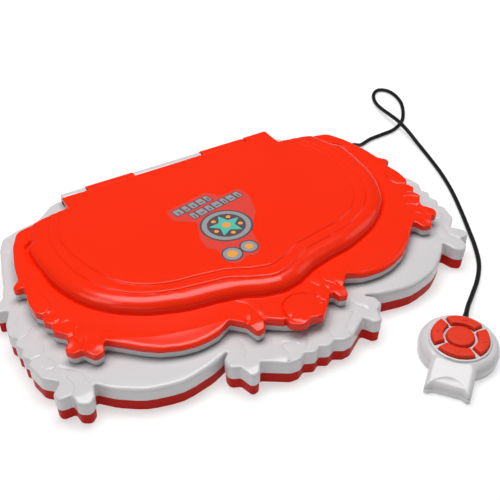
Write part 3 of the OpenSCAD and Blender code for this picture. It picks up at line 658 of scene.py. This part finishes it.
def lid_top(xy):
    """Height of the lid's outer face."""
    half = folded(xy)
    x, y = half.T
    edge = distance(xy, LID_EDGE)
    # The pillow with its two steps, and the crease at its foot
    deep = depth_in(xy, PILLOW)
    rise = pillow_rise(y)
    strength = 0.25 + 0.75 * rise / PILLOW_RISE
    z = LID_RIM + 0.80 * rise * (1 - edge_drop(np.clip(deep, 0, None), 9.5, 1)) * (deep > 0)
    for loop in STEPS:
        past = depth_in(xy, loop)
        z += STEP_RISE * strength * ease(past + 0.5)
        z -= STEP_RISE * (0.4 + 0.6 * strength) * np.exp(-((past + 0.62) / 0.38) ** 2)
    z += 0.08 * rise * np.clip(1 - (x / 100) ** 2 - ((y - 18) / 75) ** 2, 0, 1)
    crease = 0.12 + 0.88 * ease((60 - y) / 6)
    z -= 1.2 * crease * np.exp(-((deep + 0.35) / 0.7) ** 2)
    # A trough beside it, which stays off the screw's tip, and the hollow of the flange in front
    off_screw = 1 - np.exp(-(np.hypot(x - SIDE_SCREW[0], y - SIDE_SCREW[1]) / 5) ** 2)
    trough = 1.5 * ease((y + 20) / 40) * ease((56 - y) / 10) * np.exp(-(deep / 3.4) ** 2)
    z -= off_screw * trough * (deep < 0)
    share = edge / np.maximum(edge + np.abs(deep), 1e-6)
    hollow = np.clip(0.05 * (edge + np.abs(deep)), 0, 1) * 4 * share * (1 - share)
    z -= np.where(deep < 0, hollow * ease((8 - y) / 20) * ease((x - 24) / 14), 0)
    z -= 3 * np.exp(-(distance(half, NOTCH, False) / 1.1) ** 4)
    z -= np.where(inside(half, CRESCENT_AREA), 0.17 * distance(half, CRESCENT, False), 0)
    # The claws, their lines and valleys, and the disc with its ring
    z -= claw_fall(xy, CLAW_FACETS, 0.2)
    for line in LID_LINES:
        z -= groove(xy, line, 0.34, 0.3)
    for line in VALLEYS:
        z -= groove(xy, line, 0.9 if line[0, 0] < 60 else 0.4, 1.3)
    off_disc = np.hypot(xy[:, 0] - DISC_PLACE[0], y - DISC_PLACE[1])
    z += np.where(off_disc < DISC_R, 0.4 * (1 - edge_drop(DISC_R - off_disc, 0.6, 1)), 0)
    z -= groove(xy, DISC_RING, 1.0, 0.4)
    # The rounded rim, wider along the front arcs and the block left of the notch
    arc = ease((x - 41) / 9) * ease((103 - x) / 9) * (y < -35)
    block_wall = np.exp(-(distance(xy, NOSE_BLOCK, False) / 2.4) ** 4)
    return z - edge_drop(edge, 0.9 + 2.3 * arc + 0.8 * block_wall, 0.9 + 1.3 * arc + 1.6 * block_wall)


LID_HOLLOW = loop_of(mirrored([
    (0, -68, 1), (18, -66, 8), (38, -59, 8), (60, -64, 20), (82, -58, 20), (101, -40, 8),
    (116, -30, 8), (122, -14, 8), (126, 10, 15), (123, 38, 25), (113, 66, 8), (88, 73, 6)]))


def lid_underside(xy):
    """Height of the outer shell's inner face."""
    roof = LID_RIM - WALL + np.where(depth_in(xy, PILLOW) > 6, 0.8 * pillow_rise(xy[:, 1]), -1.3)
    roof -= 1.1 * np.exp(-(distance(folded(xy), NOTCH, False) / 3) ** 4)
    return np.where(inside(xy, LID_HOLLOW), roof, np.where(xy[:, 1] > PLATE_ROOT_Y, PLATE_UNDER, LID_SPLIT))


def straight(a, b):
    steps = max(2, int(math.dist(a, b) / 1.5))
    return np.array(a) + (np.array(b) - np.array(a)) * np.linspace(0, 1, steps)[:, None]


def around(loop):
    return np.concatenate([loop, loop[:1]])


def sheer(*loops):
    """Features for steps along closed loops."""
    return [(around(loop), (-0.1, 0.1)) for loop in loops]


def barrel(x0, x1, r):
    """A hinge barrel along X between two places."""
    length = x1 - x0
    part = turned([(0, 0), (r - 0.5, 0), (r - 0.12, 0.15), (r, 0.5), (r, length - 0.5),
                   (r - 0.12, length - 0.15), (r - 0.5, length), (0, length)], 56)
    return moved(part, Matrix.Translation((x0, HINGE_Y, HINGE_Z)) @ spin(90, "Y"))


def make_lid_outer():
    pillow_rows = (-1.5, -0.7, -0.25, 0.05, 0.35, 0.9, 1.8, 3, 4.6, 6.5, 8.6, 10)
    step_rows = (-1.5, -1.1, -0.85, -0.62, -0.4, -0.1, 0.3, 0.7)
    features = [(around(PILLOW), pillow_rows)]
    features += [(around(loop), step_rows) for loop in STEPS]
    features += [(line, (-0.62, -0.3, 0, 0.3, 0.62)) for line in LID_LINES]
    features += [(line, (-1.8, -1.1, -0.5, 0, 0.5, 1.1, 1.8)) for line in VALLEYS]
    features += [(DISC_RING, (-0.75, -0.4, -0.2, 0, 0.2, 0.4, 0.75)), (CRESCENT, SOFT_ROWS),
                 (CRESCENT * (-1, 1), SOFT_ROWS)]
    features += [(NOTCH * (s, 1), (-1.7, -1.3, -1, -0.7, 0, 0.7, 1, 1.3, 1.7)) for s in (-1, 1)]
    rows = (0.07, 0.28, 0.58, 0.95, 1.6, 2.4, 3.3)
    top = skin([LID_EDGE], lid_top, rows, 2.2, features)
    plate_root = straight((-78, PLATE_ROOT_Y), (78, PLATE_ROOT_Y))
    under = skin([LID_EDGE_LOW], lid_underside, (), 7, sheer(LID_HOLLOW) + [(plate_root, (-0.1, 0.1))])
    parts = [closed_mesh(top, under, (0.12, 0.88))]
    for s in (-1, 1):
        x0, x1 = sorted((s * BARREL_X[0], s * BARREL_X[1]))
        arm = block(box_points(((x0 + x1) / 2, 92.2), (x1 - x0, 9), 0.4), 23.6, 25.95, 0.3)
        parts += [barrel(x0, x1, BARREL_R), arm]
    piece("lid_outer", parts, [RED], "lid", "lid_outer_shell")


SCREEN_PLACE = (0, 22)
BEZEL = box_loop(SCREEN_PLACE, (104, 66), 9)
BEZEL_LINE = around(box_loop(SCREEN_PLACE, (122, 84), 14))
WINDOW_EDGE = box_loop(SCREEN_PLACE, (86, 50), 4)
LID_SCREW_PLACES = [(s * x, y) for s in (-1, 1) for x, y in ((96, -34), SIDE_SCREW, (34, -53), (72, 66))]
LID_WELL_R = 2.9


def lid_face(xy):
    """Height of the lid's inner face, the one with the screen."""
    edge = distance(xy, LID_FACE_EDGE)
    bezel = depth_in(xy, BEZEL)
    z = LID_BOTTOM + edge_drop(edge, 0.6)
    z += 0.9 * ease((bezel + 0.4) / 0.8)
    z += groove(xy, BEZEL_LINE, 0.45, 0.6)
    for place in LID_SCREW_PLACES:
        z += np.where(np.hypot(*(xy - place).T) < LID_WELL_R, 1.3, 0)
    return z


LID_INNER_EDGE, LID_FACE_EDGE = matched_loops(inset(mirrored(LID_HALF) + LID_INNER_NOSE, 0.35), [0, 0.15])


def make_lid_inner():
    wells = [(around(circle(place, LID_WELL_R, 20)), (-0.12, 0.12)) for place in LID_SCREW_PLACES]
    top = skin([LID_INNER_EDGE, WINDOW_EDGE], lambda xy: np.where(
        inside(xy, LID_HOLLOW), LID_BOTTOM + WALL, LID_SPLIT), (), 8, sheer(LID_HOLLOW))
    face = skin([LID_FACE_EDGE, WINDOW_EDGE], lid_face, (0.06, 0.25, 0.6), 4, wells + [
        (around(BEZEL), SOFT_ROWS), (BEZEL_LINE, (-0.9, -0.4, 0, 0.4, 0.9))])
    piece("lid_inner", [closed_mesh(top, face, (0.1, 0.9))], [WHITE], "lid", "lid_inner_shell")


# ---- Base ----
BASE_OUTLINE = [(x - lean(y), y, r) for x, y, r in (
    base_half(142) + [(79, 102.4, 2), (-79, 102.4, 2)] + flipped(base_half(146)))]
BASE_EDGE, BASE_EDGE_LOW = matched_loops(BASE_OUTLINE, [0, 0.1])
BASE_HOLLOW = loop_of(mirrored([
    (0, -84, 1), (24, -84, 8), (36, -70, 8), (56, -73, 20), (80, -76, 30), (106, -60, 12),
    (132, -42, 10), (136, 4, 20), (132, 34, 25), (124, 70, 8), (108, 82, 6), (88, 86, 6)]))
KEY_ROWS = ("qwertyuio", "pasdfghjk", "lzxcvbnm")
KEY_PITCH = (15.5, 14)
KEY_SIZE = (12.4, 10.4)
KEY_ROW_Y, KEY_FOOT, KEY_TOP = -9.5, 9.9, 16.2
KEYBOARD_PLACE = (0, KEY_ROW_Y - KEY_PITCH[1])
TRAY = box_loop(KEYBOARD_PLACE, (147, 47), 5)
TRAY_ROOM = box_loop(KEYBOARD_PLACE, (152, 52), 7)
KEY_FRAME = box_loop(KEYBOARD_PLACE, (157, 57), 9)
TRAY_FLOOR, TRAY_UNDER = 13.5, 11.5
SPEAKER_PLACE, SWITCH_PLACE = (-76, 44), (76, 44)
SWITCH_RECESS = box_loop(SWITCH_PLACE, (24, 12), 4)
BASE_SCREW_PLACES = [(s * x, y) for s in (-1, 1) for x, y in ((98, -62), (125, 8), (104, 72))]
BASE_LINE_HALVES = (
    [(132, 17), (134.5, 11.5), (139, 3)],
    [(143.5, -3.5), (141.8, -8.5), (137, -9), (133, -5)],
    [(131, -19), (131.3, -22.8), (134.8, -27.5), (139, -27.3), (141.5, -28.5)],
    [(136.6, -37), (134, -40), (130.8, -39), (130, -35.3), (131.4, -31.5)],
    [(129, -41), (121, -48.5), (120, -55.5)],
    [(128.8, -48), (127, -56), (129.8, -62)],
    [(36.5, -68.5), (35.8, -74), (37, -79), (39.5, -83.5)],
    [(126.5, 69), (123, 67), (119.3, 73.5), (119.6, 80)])
BASE_LINE_SINGLES = (
    [(-19, -92), (-19.3, -87.7), (-18, -85.5), (-15, -85.8), (-11.6, -88.4)],
    [(12, -86), (9.7, -89.3), (9, -94)],
    [(30, -84.5), (25, -88.5), (20, -92.5)],
    [(-3.6, -86), (-5.6, -91.2), (-8.5, -94)])
BASE_LINES = [leaned(line) for line in both_sides(BASE_LINE_HALVES)]
BASE_LINES += [curve(line) for line in BASE_LINE_SINGLES]
BASE_CRESCENT = curve([(112, -50), (104, -56), (93, -62.3), (80, -68), (64, -70), (50, -71)])
BASE_CRESCENT_AREA = np.concatenate([BASE_CRESCENT, [(50, -100), (112, -100)]])[::-1]
BASE_FACETS = (
    ((20, -92), (34, -92), (27, -96), 7),
    ((36, -91), (46, -91), (41, -95), 5),
    ((117, -64), (132, -64.5), (125, -69), 8),
    ((133.4, -63), (133.4, -50), (138, -57), 6.5),
    ((142, 17), (142, 26), (146, 21), 6))


def key_places():
    for row, letters in enumerate(KEY_ROWS):
        for column, letter in enumerate(letters):
            yield letter, ((column - (len(letters) - 1) / 2) * KEY_PITCH[0], KEY_ROW_Y - row * KEY_PITCH[1])


def speaker_places():
    for ring in range(4):
        for i in range(max(1, ring * 6)):
            yield polar(ring * 4.4, i * 60 / max(1, ring), SPEAKER_PLACE)


def base_deck(xy):
    """Height of the base's upper face."""
    x, y = np.abs(xy[:, 0]), xy[:, 1]
    half = np.column_stack([np.abs(xy[:, 0] + lean(y)), y])
    z = np.full(len(xy), float(BASE_TOP))
    tray = depth_in(xy, TRAY)
    z -= (BASE_TOP - TRAY_FLOOR) * ease((tray + 0.1) / 0.5)
    z -= np.where(tray < -0.1, edge_drop(-tray - 0.1, 0.9), 0)
    z -= 0.5 * ease((depth_in(xy, SWITCH_RECESS) + 0.3) / 0.6)
    off_speaker = np.hypot(*(xy - SPEAKER_PLACE).T)
    z -= 0.5 * ease((19.6 - off_speaker) / 0.7)
    z -= 0.25 * ease((depth_in(xy, KEY_FRAME) + 0.4) / 0.8) * (tray < -0.5)
    for line in BASE_LINES:
        z -= groove(xy, line, 0.36, 0.3)
    z -= np.where(inside(half, BASE_CRESCENT_AREA), 0.05 * distance(half, BASE_CRESCENT, False), 0)
    z -= claw_fall(half, BASE_FACETS, 0.14)
    seat = np.sqrt(np.clip(SEAT_R ** 2 - (y - HINGE_Y) ** 2, 0, None))
    seated = (x > BARREL_X[0] - BARREL_GAP) & (x < BARREL_X[1] + BARREL_GAP) & (np.abs(y - HINGE_Y) < SEAT_R)
    z = np.where(seated, np.minimum(z, HINGE_Z - seat), z)
    arc = ease((x - 46) / 9) * ease((115 - x) / 9) * (y < -45)
    return z - edge_drop(distance(xy, BASE_EDGE), 1.25 + 1.1 * arc, 1.2 + 0.7 * arc)


def base_deck_under(xy):
    z = np.where(inside(xy, BASE_HOLLOW), BASE_TOP - WALL, BASE_SPLIT)
    return np.where(inside(xy, TRAY_ROOM), TRAY_UNDER, z)


def base_knuckle(x0, x1):
    """A hinge knuckle of the base and the block under it."""
    foot = block(box_points(((x0 + x1) / 2, HINGE_Y), (x1 - x0, 8.2), 0.3), 15.5, HINGE_Z, 0.1)
    return [barrel(x0, x1, KNUCKLE_R), foot]


def make_base_top():
    holes = [rounded(box_points(place, (KEY_SIZE[0] + 0.8, KEY_SIZE[1] + 0.8), 2.4))
             for _, place in key_places()]
    holes += [circle(place, 1.2, 14) for place in speaker_places()]
    holes.append(rounded(box_points(SWITCH_PLACE, (11.8, 4.8), 2.3)))
    features = [
        (around(TRAY), (-1.1, -0.7, -0.35, -0.12, 0.12, 0.42)), (around(SWITCH_RECESS), (-0.4, 0, 0.4))]
    features += [(line, SOFT_ROWS) for line in (
        around(KEY_FRAME), around(circle(SPEAKER_PLACE, 19.2, 80)), leaned(BASE_CRESCENT),
        leaned(BASE_CRESCENT * (-1, 1)))]
    features += [(line, (-0.58, -0.29, 0, 0.29, 0.58)) for line in BASE_LINES]
    for s in (-1, 1):
        for x in (BARREL_X[0] - BARREL_GAP, BARREL_X[1] + BARREL_GAP):
            features.append((straight((s * x, 90), (s * x, 101.5)), (-0.08, 0.08)))
        for y in (91.5, 92.2, 93.4, 95, 97, 98.6, 99.8, 100.5):
            features.append((straight((s * BARREL_X[0], y), (s * BARREL_X[1], y)), (0,)))
    top = skin([BASE_EDGE, *holes], base_deck, (0.08, 0.32, 0.7, 1.2, 1.8, 2.5), 3.0, features)
    under = skin([BASE_EDGE_LOW, *holes], base_deck_under, (), 9, sheer(BASE_HOLLOW, TRAY_ROOM))
    parts = [closed_mesh(top, under, (0.06, 0.94))]
    parts += base_knuckle(-BARREL_X[0] + BARREL_GAP, BARREL_X[0] - BARREL_GAP)
    for s in (-1, 1):
        parts += base_knuckle(*sorted((s * (BARREL_X[1] + BARREL_GAP), s * KNUCKLE_END)))
    piece("base_top", parts, [WHITE], "root", "base_top_shell")


BASE_LOW_EDGE, BASE_FOOT_EDGE = matched_loops(BASE_OUTLINE, [0.45, 0.7])
BAY_PLACE = (0, 56)
DOOR_RECESS = box_loop(BAY_PLACE, (74.7, 44.7), 3.3)
BAY = box_loop(BAY_PLACE, (56, 38), 1)
BAY_ROOF = box_loop(BAY_PLACE, (59, 41), 2)
DOOR_ROOF = box_loop(BAY_PLACE, (79, 49), 3)
BOSS_R, BASE_WELL_R = 3.6, 3


def base_foot(xy):
    """Height of the base's underside."""
    z = edge_drop(distance(xy, BASE_FOOT_EDGE), 0.5)
    z = np.where(inside(xy, DOOR_RECESS), 2.1, z)
    z = np.where(inside(xy, BAY), 13.2, z)
    for place in BASE_SCREW_PLACES:
        z = np.where(np.hypot(*(xy - place).T) < BASE_WELL_R, 4, z)
    return z


def base_floor(xy):
    """Height of the lower shell's inner face."""
    z = np.where(inside(xy, BASE_HOLLOW), WALL, BASE_SPLIT)
    z = np.where(inside(xy, DOOR_ROOF), 3.8, z)
    z = np.where(inside(xy, BAY_ROOF), 14.4, z)
    for place in BASE_SCREW_PLACES:
        z = np.where(np.hypot(*(xy - place).T) < BOSS_R, BASE_SPLIT, z)
    return z


def make_base_bottom():
    bosses = [circle(place, BOSS_R, 20) for place in BASE_SCREW_PLACES]
    wells = [circle(place, BASE_WELL_R, 24) for place in BASE_SCREW_PLACES]
    top = skin([BASE_LOW_EDGE], base_floor, (), 8, sheer(BASE_HOLLOW, DOOR_ROOF, BAY_ROOF, *bosses))
    foot = skin([BASE_FOOT_EDGE], base_foot, (0.1, 0.5), 7, sheer(DOOR_RECESS, BAY, *wells))
    shell = closed_mesh(top, foot, (0.08, 0.92))
    # The lower shell takes the darker copy of the red, which is painted shade
    piece("base_bottom", [shell], [RED_PAINTED_SHADE], "root", "base_bottom_shell")


def letter_part(letter, place):
    """A printed letter of the built-in font, centred on a key."""
    data = bpy.data.curves.new("letter", "FONT")
    data.body = letter
    data.size = 7
    data.align_x = "CENTER"
    data.resolution_u = 3
    data.extrude = 0.04
    holder = bpy.data.objects.new("letter", data)
    mesh = bpy.data.meshes.new_from_object(holder)
    verts = np.array([v.co for v in mesh.vertices]) + (place[0], place[1] - 0.33 * data.size, KEY_TOP)
    faces = [list(f.vertices) for f in mesh.polygons]
    bpy.data.objects.remove(holder)
    bpy.data.meshes.remove(mesh)
    return verts, faces, 1


def make_keys():
    width, depth = KEY_SIZE
    for letter, place in key_places():
        cap = block(box_points(place, KEY_SIZE, 2), KEY_FOOT, KEY_TOP, 0.9, gap=4)
        flange = block(box_points(place, (width + 2, depth + 2), 2.6), KEY_FOOT, 11.1, 0.2, gap=6)
        name = "key_" + letter
        piece("cap_" + letter, [cap, flange, letter_part(letter, place)], [KEY_WHITE, PRINT_DARK], name,
              name)


# ---- Mouse ----
MOUSE_PLACE, MOUSE_TURN, MOUSE_R, MOUSE_ROOM_R = (73.5, -127), 40, 23, 20
MOUSE_SPLIT, MOUSE_DECK, BUTTON_FOOT, BUTTON_TOP = 3.5, 10.6, 7.6, 14
BUTTON_ANGLES = {"up": 0, "left": 90, "down": 180, "right": 270}
IN_MOUSE = Matrix.Translation((*MOUSE_PLACE, 0)) @ spin(MOUSE_TURN)
TAIL_HALF_ANGLE = 146.5
TAIL_POINTS = [(-36.3, 12.5, 1.3), (-36.5, 10.5, 1), (-35, 8, 4), (-34.9, 0, 20), (-35, -8, 4),
               (-36.5, -10.5, 1), (-36.3, -12.5, 1.3)]


def arc_points(r, angles, small, corner):
    """Points along an arc, with a larger corner radius at both ends."""
    arc = [(*polar(r, a), small) for a in angles]
    return [(*arc[0][:2], corner), *arc[1:-1], (*arc[-1][:2], corner)]


def mouse_outline():
    turn = np.linspace(-TAIL_HALF_ANGLE, TAIL_HALF_ANGLE, 80)
    return arc_points(MOUSE_R, turn, 0.3, 1.2) + TAIL_POINTS


def sector(r_in, r_out, sweep, corner, turn=0):
    """Corner points of a quarter ring's outline about the X axis."""
    steps = np.linspace(-sweep / 2, sweep / 2, 26) + turn
    return arc_points(r_out, steps, 0.2, corner) + arc_points(r_in, steps[::-1], 0.2, corner)


MOUSE_EDGE, MOUSE_LOW_EDGE = matched_loops(mouse_outline(), [0, 0.15], 1)
TAIL_ARC = curve([
    (-34.2, -10), (-31.4, -7.6), (-28.8, -3.6), (-28.1, 0), (-28.8, 3.6), (-31.4, 7.6), (-34.2, 10)], 0.5)
TAIL_CRESCENT = np.concatenate([TAIL_ARC, [(-40, 10), (-40, -10)]])


def mouse_top(xy):
    """Height of the mouse's upper face, in its own frame."""
    x = xy[:, 0]
    off = np.hypot(*xy.T)
    tail = ease((-x - 15.5) / 5.5)
    crown = MOUSE_DECK * (1 - tail) + tail * (10.2 - 0.19 * np.clip(-x - 18, 0, None))
    width, height = (full * (1 - tail) + 2.6 * tail for full in (5.4, 5.6))
    z = crown - edge_drop(distance(xy, MOUSE_EDGE), width, height)
    z += ease((17.9 - off) / 0.3) - edge_drop(17.6 - off, 0.5, 0.35) * (off < 17.6)
    z -= 0.25 * np.exp(-((off - 18.15) / 0.35) ** 2)
    beyond = distance(xy, TAIL_ARC, False) * inside(xy, TAIL_CRESCENT)
    z -= 0.1 * beyond + 0.18 * ease(beyond / 0.4)
    return z


def mouse_inside(xy):
    return np.where(np.hypot(*xy.T) < MOUSE_ROOM_R, 9.6, MOUSE_SPLIT)


def make_mouse():
    holes = [loop_of(sector(9.6, 16.6, 82, 1.4, angle), 1.2) for angle in BUTTON_ANGLES.values()]
    holes.append(circle((0, 0), 8.3, 48))
    step = around(circle((0, 0), 17.75, 110))
    top = skin([MOUSE_EDGE, *holes], mouse_top, (0.06, 0.25, 0.6, 1.1, 1.7, 2.4, 3.3, 4.4), 1.5, [
        (step, (-0.7, -0.35, -0.12, 0.12, 0.3, 0.6)), (TAIL_ARC, (-0.7, -0.35, -0.1, 0.1, 0.4))])
    under = skin([MOUSE_LOW_EDGE, *holes], mouse_inside, (), 5, sheer(circle((0, 0), MOUSE_ROOM_R, 60)))
    shell = moved(closed_mesh(top, under, (0.2, 0.9)), IN_MOUSE)
    piece("mouse_top", [shell], [WHITE], "root", "mouse_top_shell")
    for name, angle in BUTTON_ANGLES.items():
        cap = block(sector(10, 16.2, 78, 1.3), BUTTON_FOOT, BUTTON_TOP, 0.8, gap=1.5)
        flange = block(sector(10.2, 17.4, 80, 0.8), BUTTON_FOOT, 9.3, 0.1)
        arrow = block([(15.1, 0, 0.2), (12.2, 2.2, 0.2), (12.2, -2.2, 0.2)], BUTTON_TOP - 0.1,
                      BUTTON_TOP + 0.3, 0.12, gap=2)
        parts = [moved(part, IN_MOUSE @ spin(angle)) for part in (cap, flange, arrow)]
        node = "mouse_button_" + name
        piece("press_" + name, parts, [BUTTON_RED], node, node)
    centre = turned([(0, BUTTON_FOOT), (8.7, BUTTON_FOOT), (8.7, 9.3), (7.9, 9.3), (7.9, 13), (7.75, 13.5),
                     (7.3, 13.9), (6.6, BUTTON_TOP), (4, 13.9), (0, 13.8)], 64)
    node = "mouse_button_centre"
    piece("press_centre", [moved(centre, IN_MOUSE)], [BUTTON_RED], node, node)


# ---- Badge ----
def draped(outline, low, high, paint):
    """A thin patch over an outline that follows the lid's top, between two heights above it."""
    loop = loop_of(outline, 1.2)
    top, bottom = (skin([loop], lambda xy: lid_top(xy) + lift, (), 2) for lift in (high, low))
    return (*closed_mesh(top, bottom), paint)


def layer(outline, level, paint):
    """A patch of the badge's print, each level just above the one before."""
    low = 0.1 + 0.03 * level
    return draped(outline, low, low + 0.05, paint)


def star(place, r, waist):
    """Corner points of a five-pointed star."""
    return [(*polar(waist if i % 2 else r, 90 + 36 * i, place), 0.3) for i in range(10)]


def ring_points(place, r, sides=40):
    return [(x, y, 0.2) for x, y in circle(place, r, sides)]


def tilted(points, place, turn):
    """Corner points turned about the origin, in degrees, and then moved to a place."""
    c, w = math.cos(math.radians(turn)), math.sin(math.radians(turn))
    return [(place[0] + c * x - w * y, place[1] + w * x + c * y, r) for x, y, r in points]


def make_badge():
    parts = [draped(DECAL_POINTS, -0.1, 0.12, 0)]
    turn, gap = 11, 0.7
    for place, widths in (
            ((-12.2, 34.4), (6.2, 4.4, 5.4, 5.6, 3.6)), ((1.2, 27.2), (4.2, 6.4, 4.6, 6.2, 4, 5.6, 4.4))):
        x = -(sum(widths) + gap * (len(widths) - 1)) / 2
        for k, width in enumerate(widths):
            middle = tilted([(x + width / 2, 0, 0)], place, turn)[0][:2]
            slit = ((0.9, 3.2), (width * 0.5, 0.9))[k % 2]
            for level, (y, size, corner, paint) in enumerate((
                    (0, (width + 0.5, 7.8), 0.7, 2), (0, (width - 0.7, 6.4), 0.5, 1), (-1, slit, 0.2, 2))):
                parts.append(layer(tilted(box_points((0, y), size, corner), middle, turn), level, paint))
            x += width + gap
    emblem = (-4, 4)
    for level, (r, paint) in enumerate(((16.5, 2), (15.2, 1), (12, 2))):
        parts.append(layer(ring_points(emblem, r), level, paint))
    parts.append(layer(star(emblem, 11, 5.2), 3, 3))
    parts.append(layer(ring_points(emblem, 2.8, 24), 4, 4))
    for k in range(5):
        dot = polar(8.8, -90 + 72 * k, emblem)
        parts.append(layer(ring_points(dot, 1.5, 16), 3, 4))
    for place, r in (((-14.6, -22.6), 6.6), ((-2.6, -21.4), 6)):
        for level, (smaller, sides, paint) in enumerate(((0, 28, 2), (1, 28, 1), (3.4, 20, 4))):
            parts.append(layer(ring_points(place, r - smaller, sides), level, paint))
    piece("lid_badge", parts, [FILM, BADGE_GREY, BADGE_DARK, BADGE_TEAL, BADGE_ORANGE], "lid",
          "lid_decal")


# ---- Small parts ----
GLAND_PLACE, GLAND_TURN, GLAND_L = (126.5, 68, 7.6), 20, 14


def make_gland():
    profile = [(0, -5.4), (4.2, -5.4), (4.2, -4), (3.25, -4), (3.25, 2.6), (3.0, 3)]
    for i in range(5):
        z = 3.2 + 2.05 * i
        r = 3.2 - 0.23 * i
        profile += [(r - 0.6, z), (r - 0.6, z + 0.55), (r - 0.1, z + 0.7), (r - 0.05, z + 1.6),
                    (r - 0.2, z + 1.8)]
    profile += [(1.95, 13.6), (1.75, GLAND_L), (0, GLAND_L)]
    turn = Matrix.Translation(GLAND_PLACE) @ spin(GLAND_TURN) @ spin(90, "Y")
    boot = moved(turned(profile, 40), turn)
    return piece("cord_boot", [boot], [CORD_BLACK], "root", "cord_gland")


def make_lcd():
    """The display: glass, backing and a blank game's squares."""
    x, y = SCREEN_PLACE
    low = LID_BOTTOM + WALL + 1.2
    parts = [block(box_points((x, y), (82, 50), 1), low, low + 2.2, 0.1, 0.05),
             (*block(box_points((x, y), (88, 54), 1), low + 2.2, low + 3.4, 0.1, 0.05), 1)]
    cells = [((i * 8.4, y + 19), (5.6, 5.6), 0.8) for i in range(-4, 5)]
    for row in range(3):
        for column in range(7):
            size = (7.5, 7.5) if (row + column) % 3 else (7.5, 2.2)
            cells.append(((column * 10.4 - 31.2, y + 7 - row * 10.4), size, 0.6))
    parts += [(*block(box_points(*cell), low - 0.05, low + 0.2, 0.01, 0.01), 1) for cell in cells]
    piece("display", parts, [LCD_GREEN, PRINT_DARK], "lid", "lcd_module")


make_lid_outer()
make_lid_inner()
make_base_top()
make_base_bottom()
make_keys()
make_mouse()
make_badge()
make_lcd()
GLAND = make_gland()

# The CAD's own pieces, which need only a finish
for material, node_names in (
        (RED_PAINTED_SHADE, "battery_door"), (CELL_WRAP, "batteries"), (BOARD, "main_board mouse_board"),
        (STEEL, "battery_door_screws battery_contacts main_board_screws power_switch_body "
                "base_screws hinge_pins lid_screws mouse_screws"),
        (SILICONE, "keypad_membrane mouse_membrane"), (SPEAKER_BLACK, "speaker"),
        (SLIDER_RED, "power_slider"), (WINDOW, "screen_window"), (RIBBON, "display_cable"),
        (WHITE, "mouse_bottom_shell"), (CORD_BLACK, "mouse_strain_relief")):
    for node_name in node_names.split():
        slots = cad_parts[node_name].data.materials
        slots.clear()
        slots.append(material)

# ---- Cord ----
CORD_D = 3
RELIEF_Z, RELIEF_OUT = 6.2, 4
GLAND_END = (*polar(GLAND_L, GLAND_TURN, GLAND_PLACE), GLAND_PLACE[2])
CORD_END = (*polar(MOUSE_R + RELIEF_OUT, MOUSE_TURN, MOUSE_PLACE), RELIEF_Z)
# Points with no height lie on the floor
CORD_ROUTE = [place if len(place) == 3 else (*place, CORD_D / 2) for place in (
    GLAND_END, (144, 74.3, 6.6), (148.5, 75.7, 4.1), (153, 77, 2.1), (158.5, 78.9), (165, 80.8),
    (176, 81.6), (187, 82.4), (196.5, 86), (205, 92), (213, 101.5), (220.5, 114), (223.8, 127),
    (222.5, 136.5), (217, 140.4), (210.5, 137.5), (205, 130.5, 1.6), (201, 121.5, 2.2),
    (198.4, 110, 3.4), (197.2, 98, 4.6), (196.3, 85.6, 5), (194.5, 72, 4.2), (192, 57, 2.4),
    (187.6, 37), (181.4, 15.5), (173.6, -5), (164.2, -25), (154.5, -44), (146, -60), (136.5, -74.5),
    (125, -86, 1.8), (111.5, -96.2, 3), (101, -103.9, 4.8), CORD_END)]


def make_cord():
    path = curve(CORD_ROUTE, 3) * MM
    data = bpy.data.curves.new("mouse_lead", "CURVE")
    data.dimensions = "3D"
    spline = data.splines.new("POLY")
    spline.points.add(len(path) - 1)
    for point, place in zip(spline.points, path):
        point.co = (*place, 1)
    data.bevel_depth = CORD_D / 2 * MM
    data.bevel_resolution = 5
    data.use_fill_caps = True
    data.materials.append(CORD_BLACK)
    cord = new_object("mouse_lead", data)
    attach(cord, "root")
    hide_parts("mouse_cord")


make_cord()
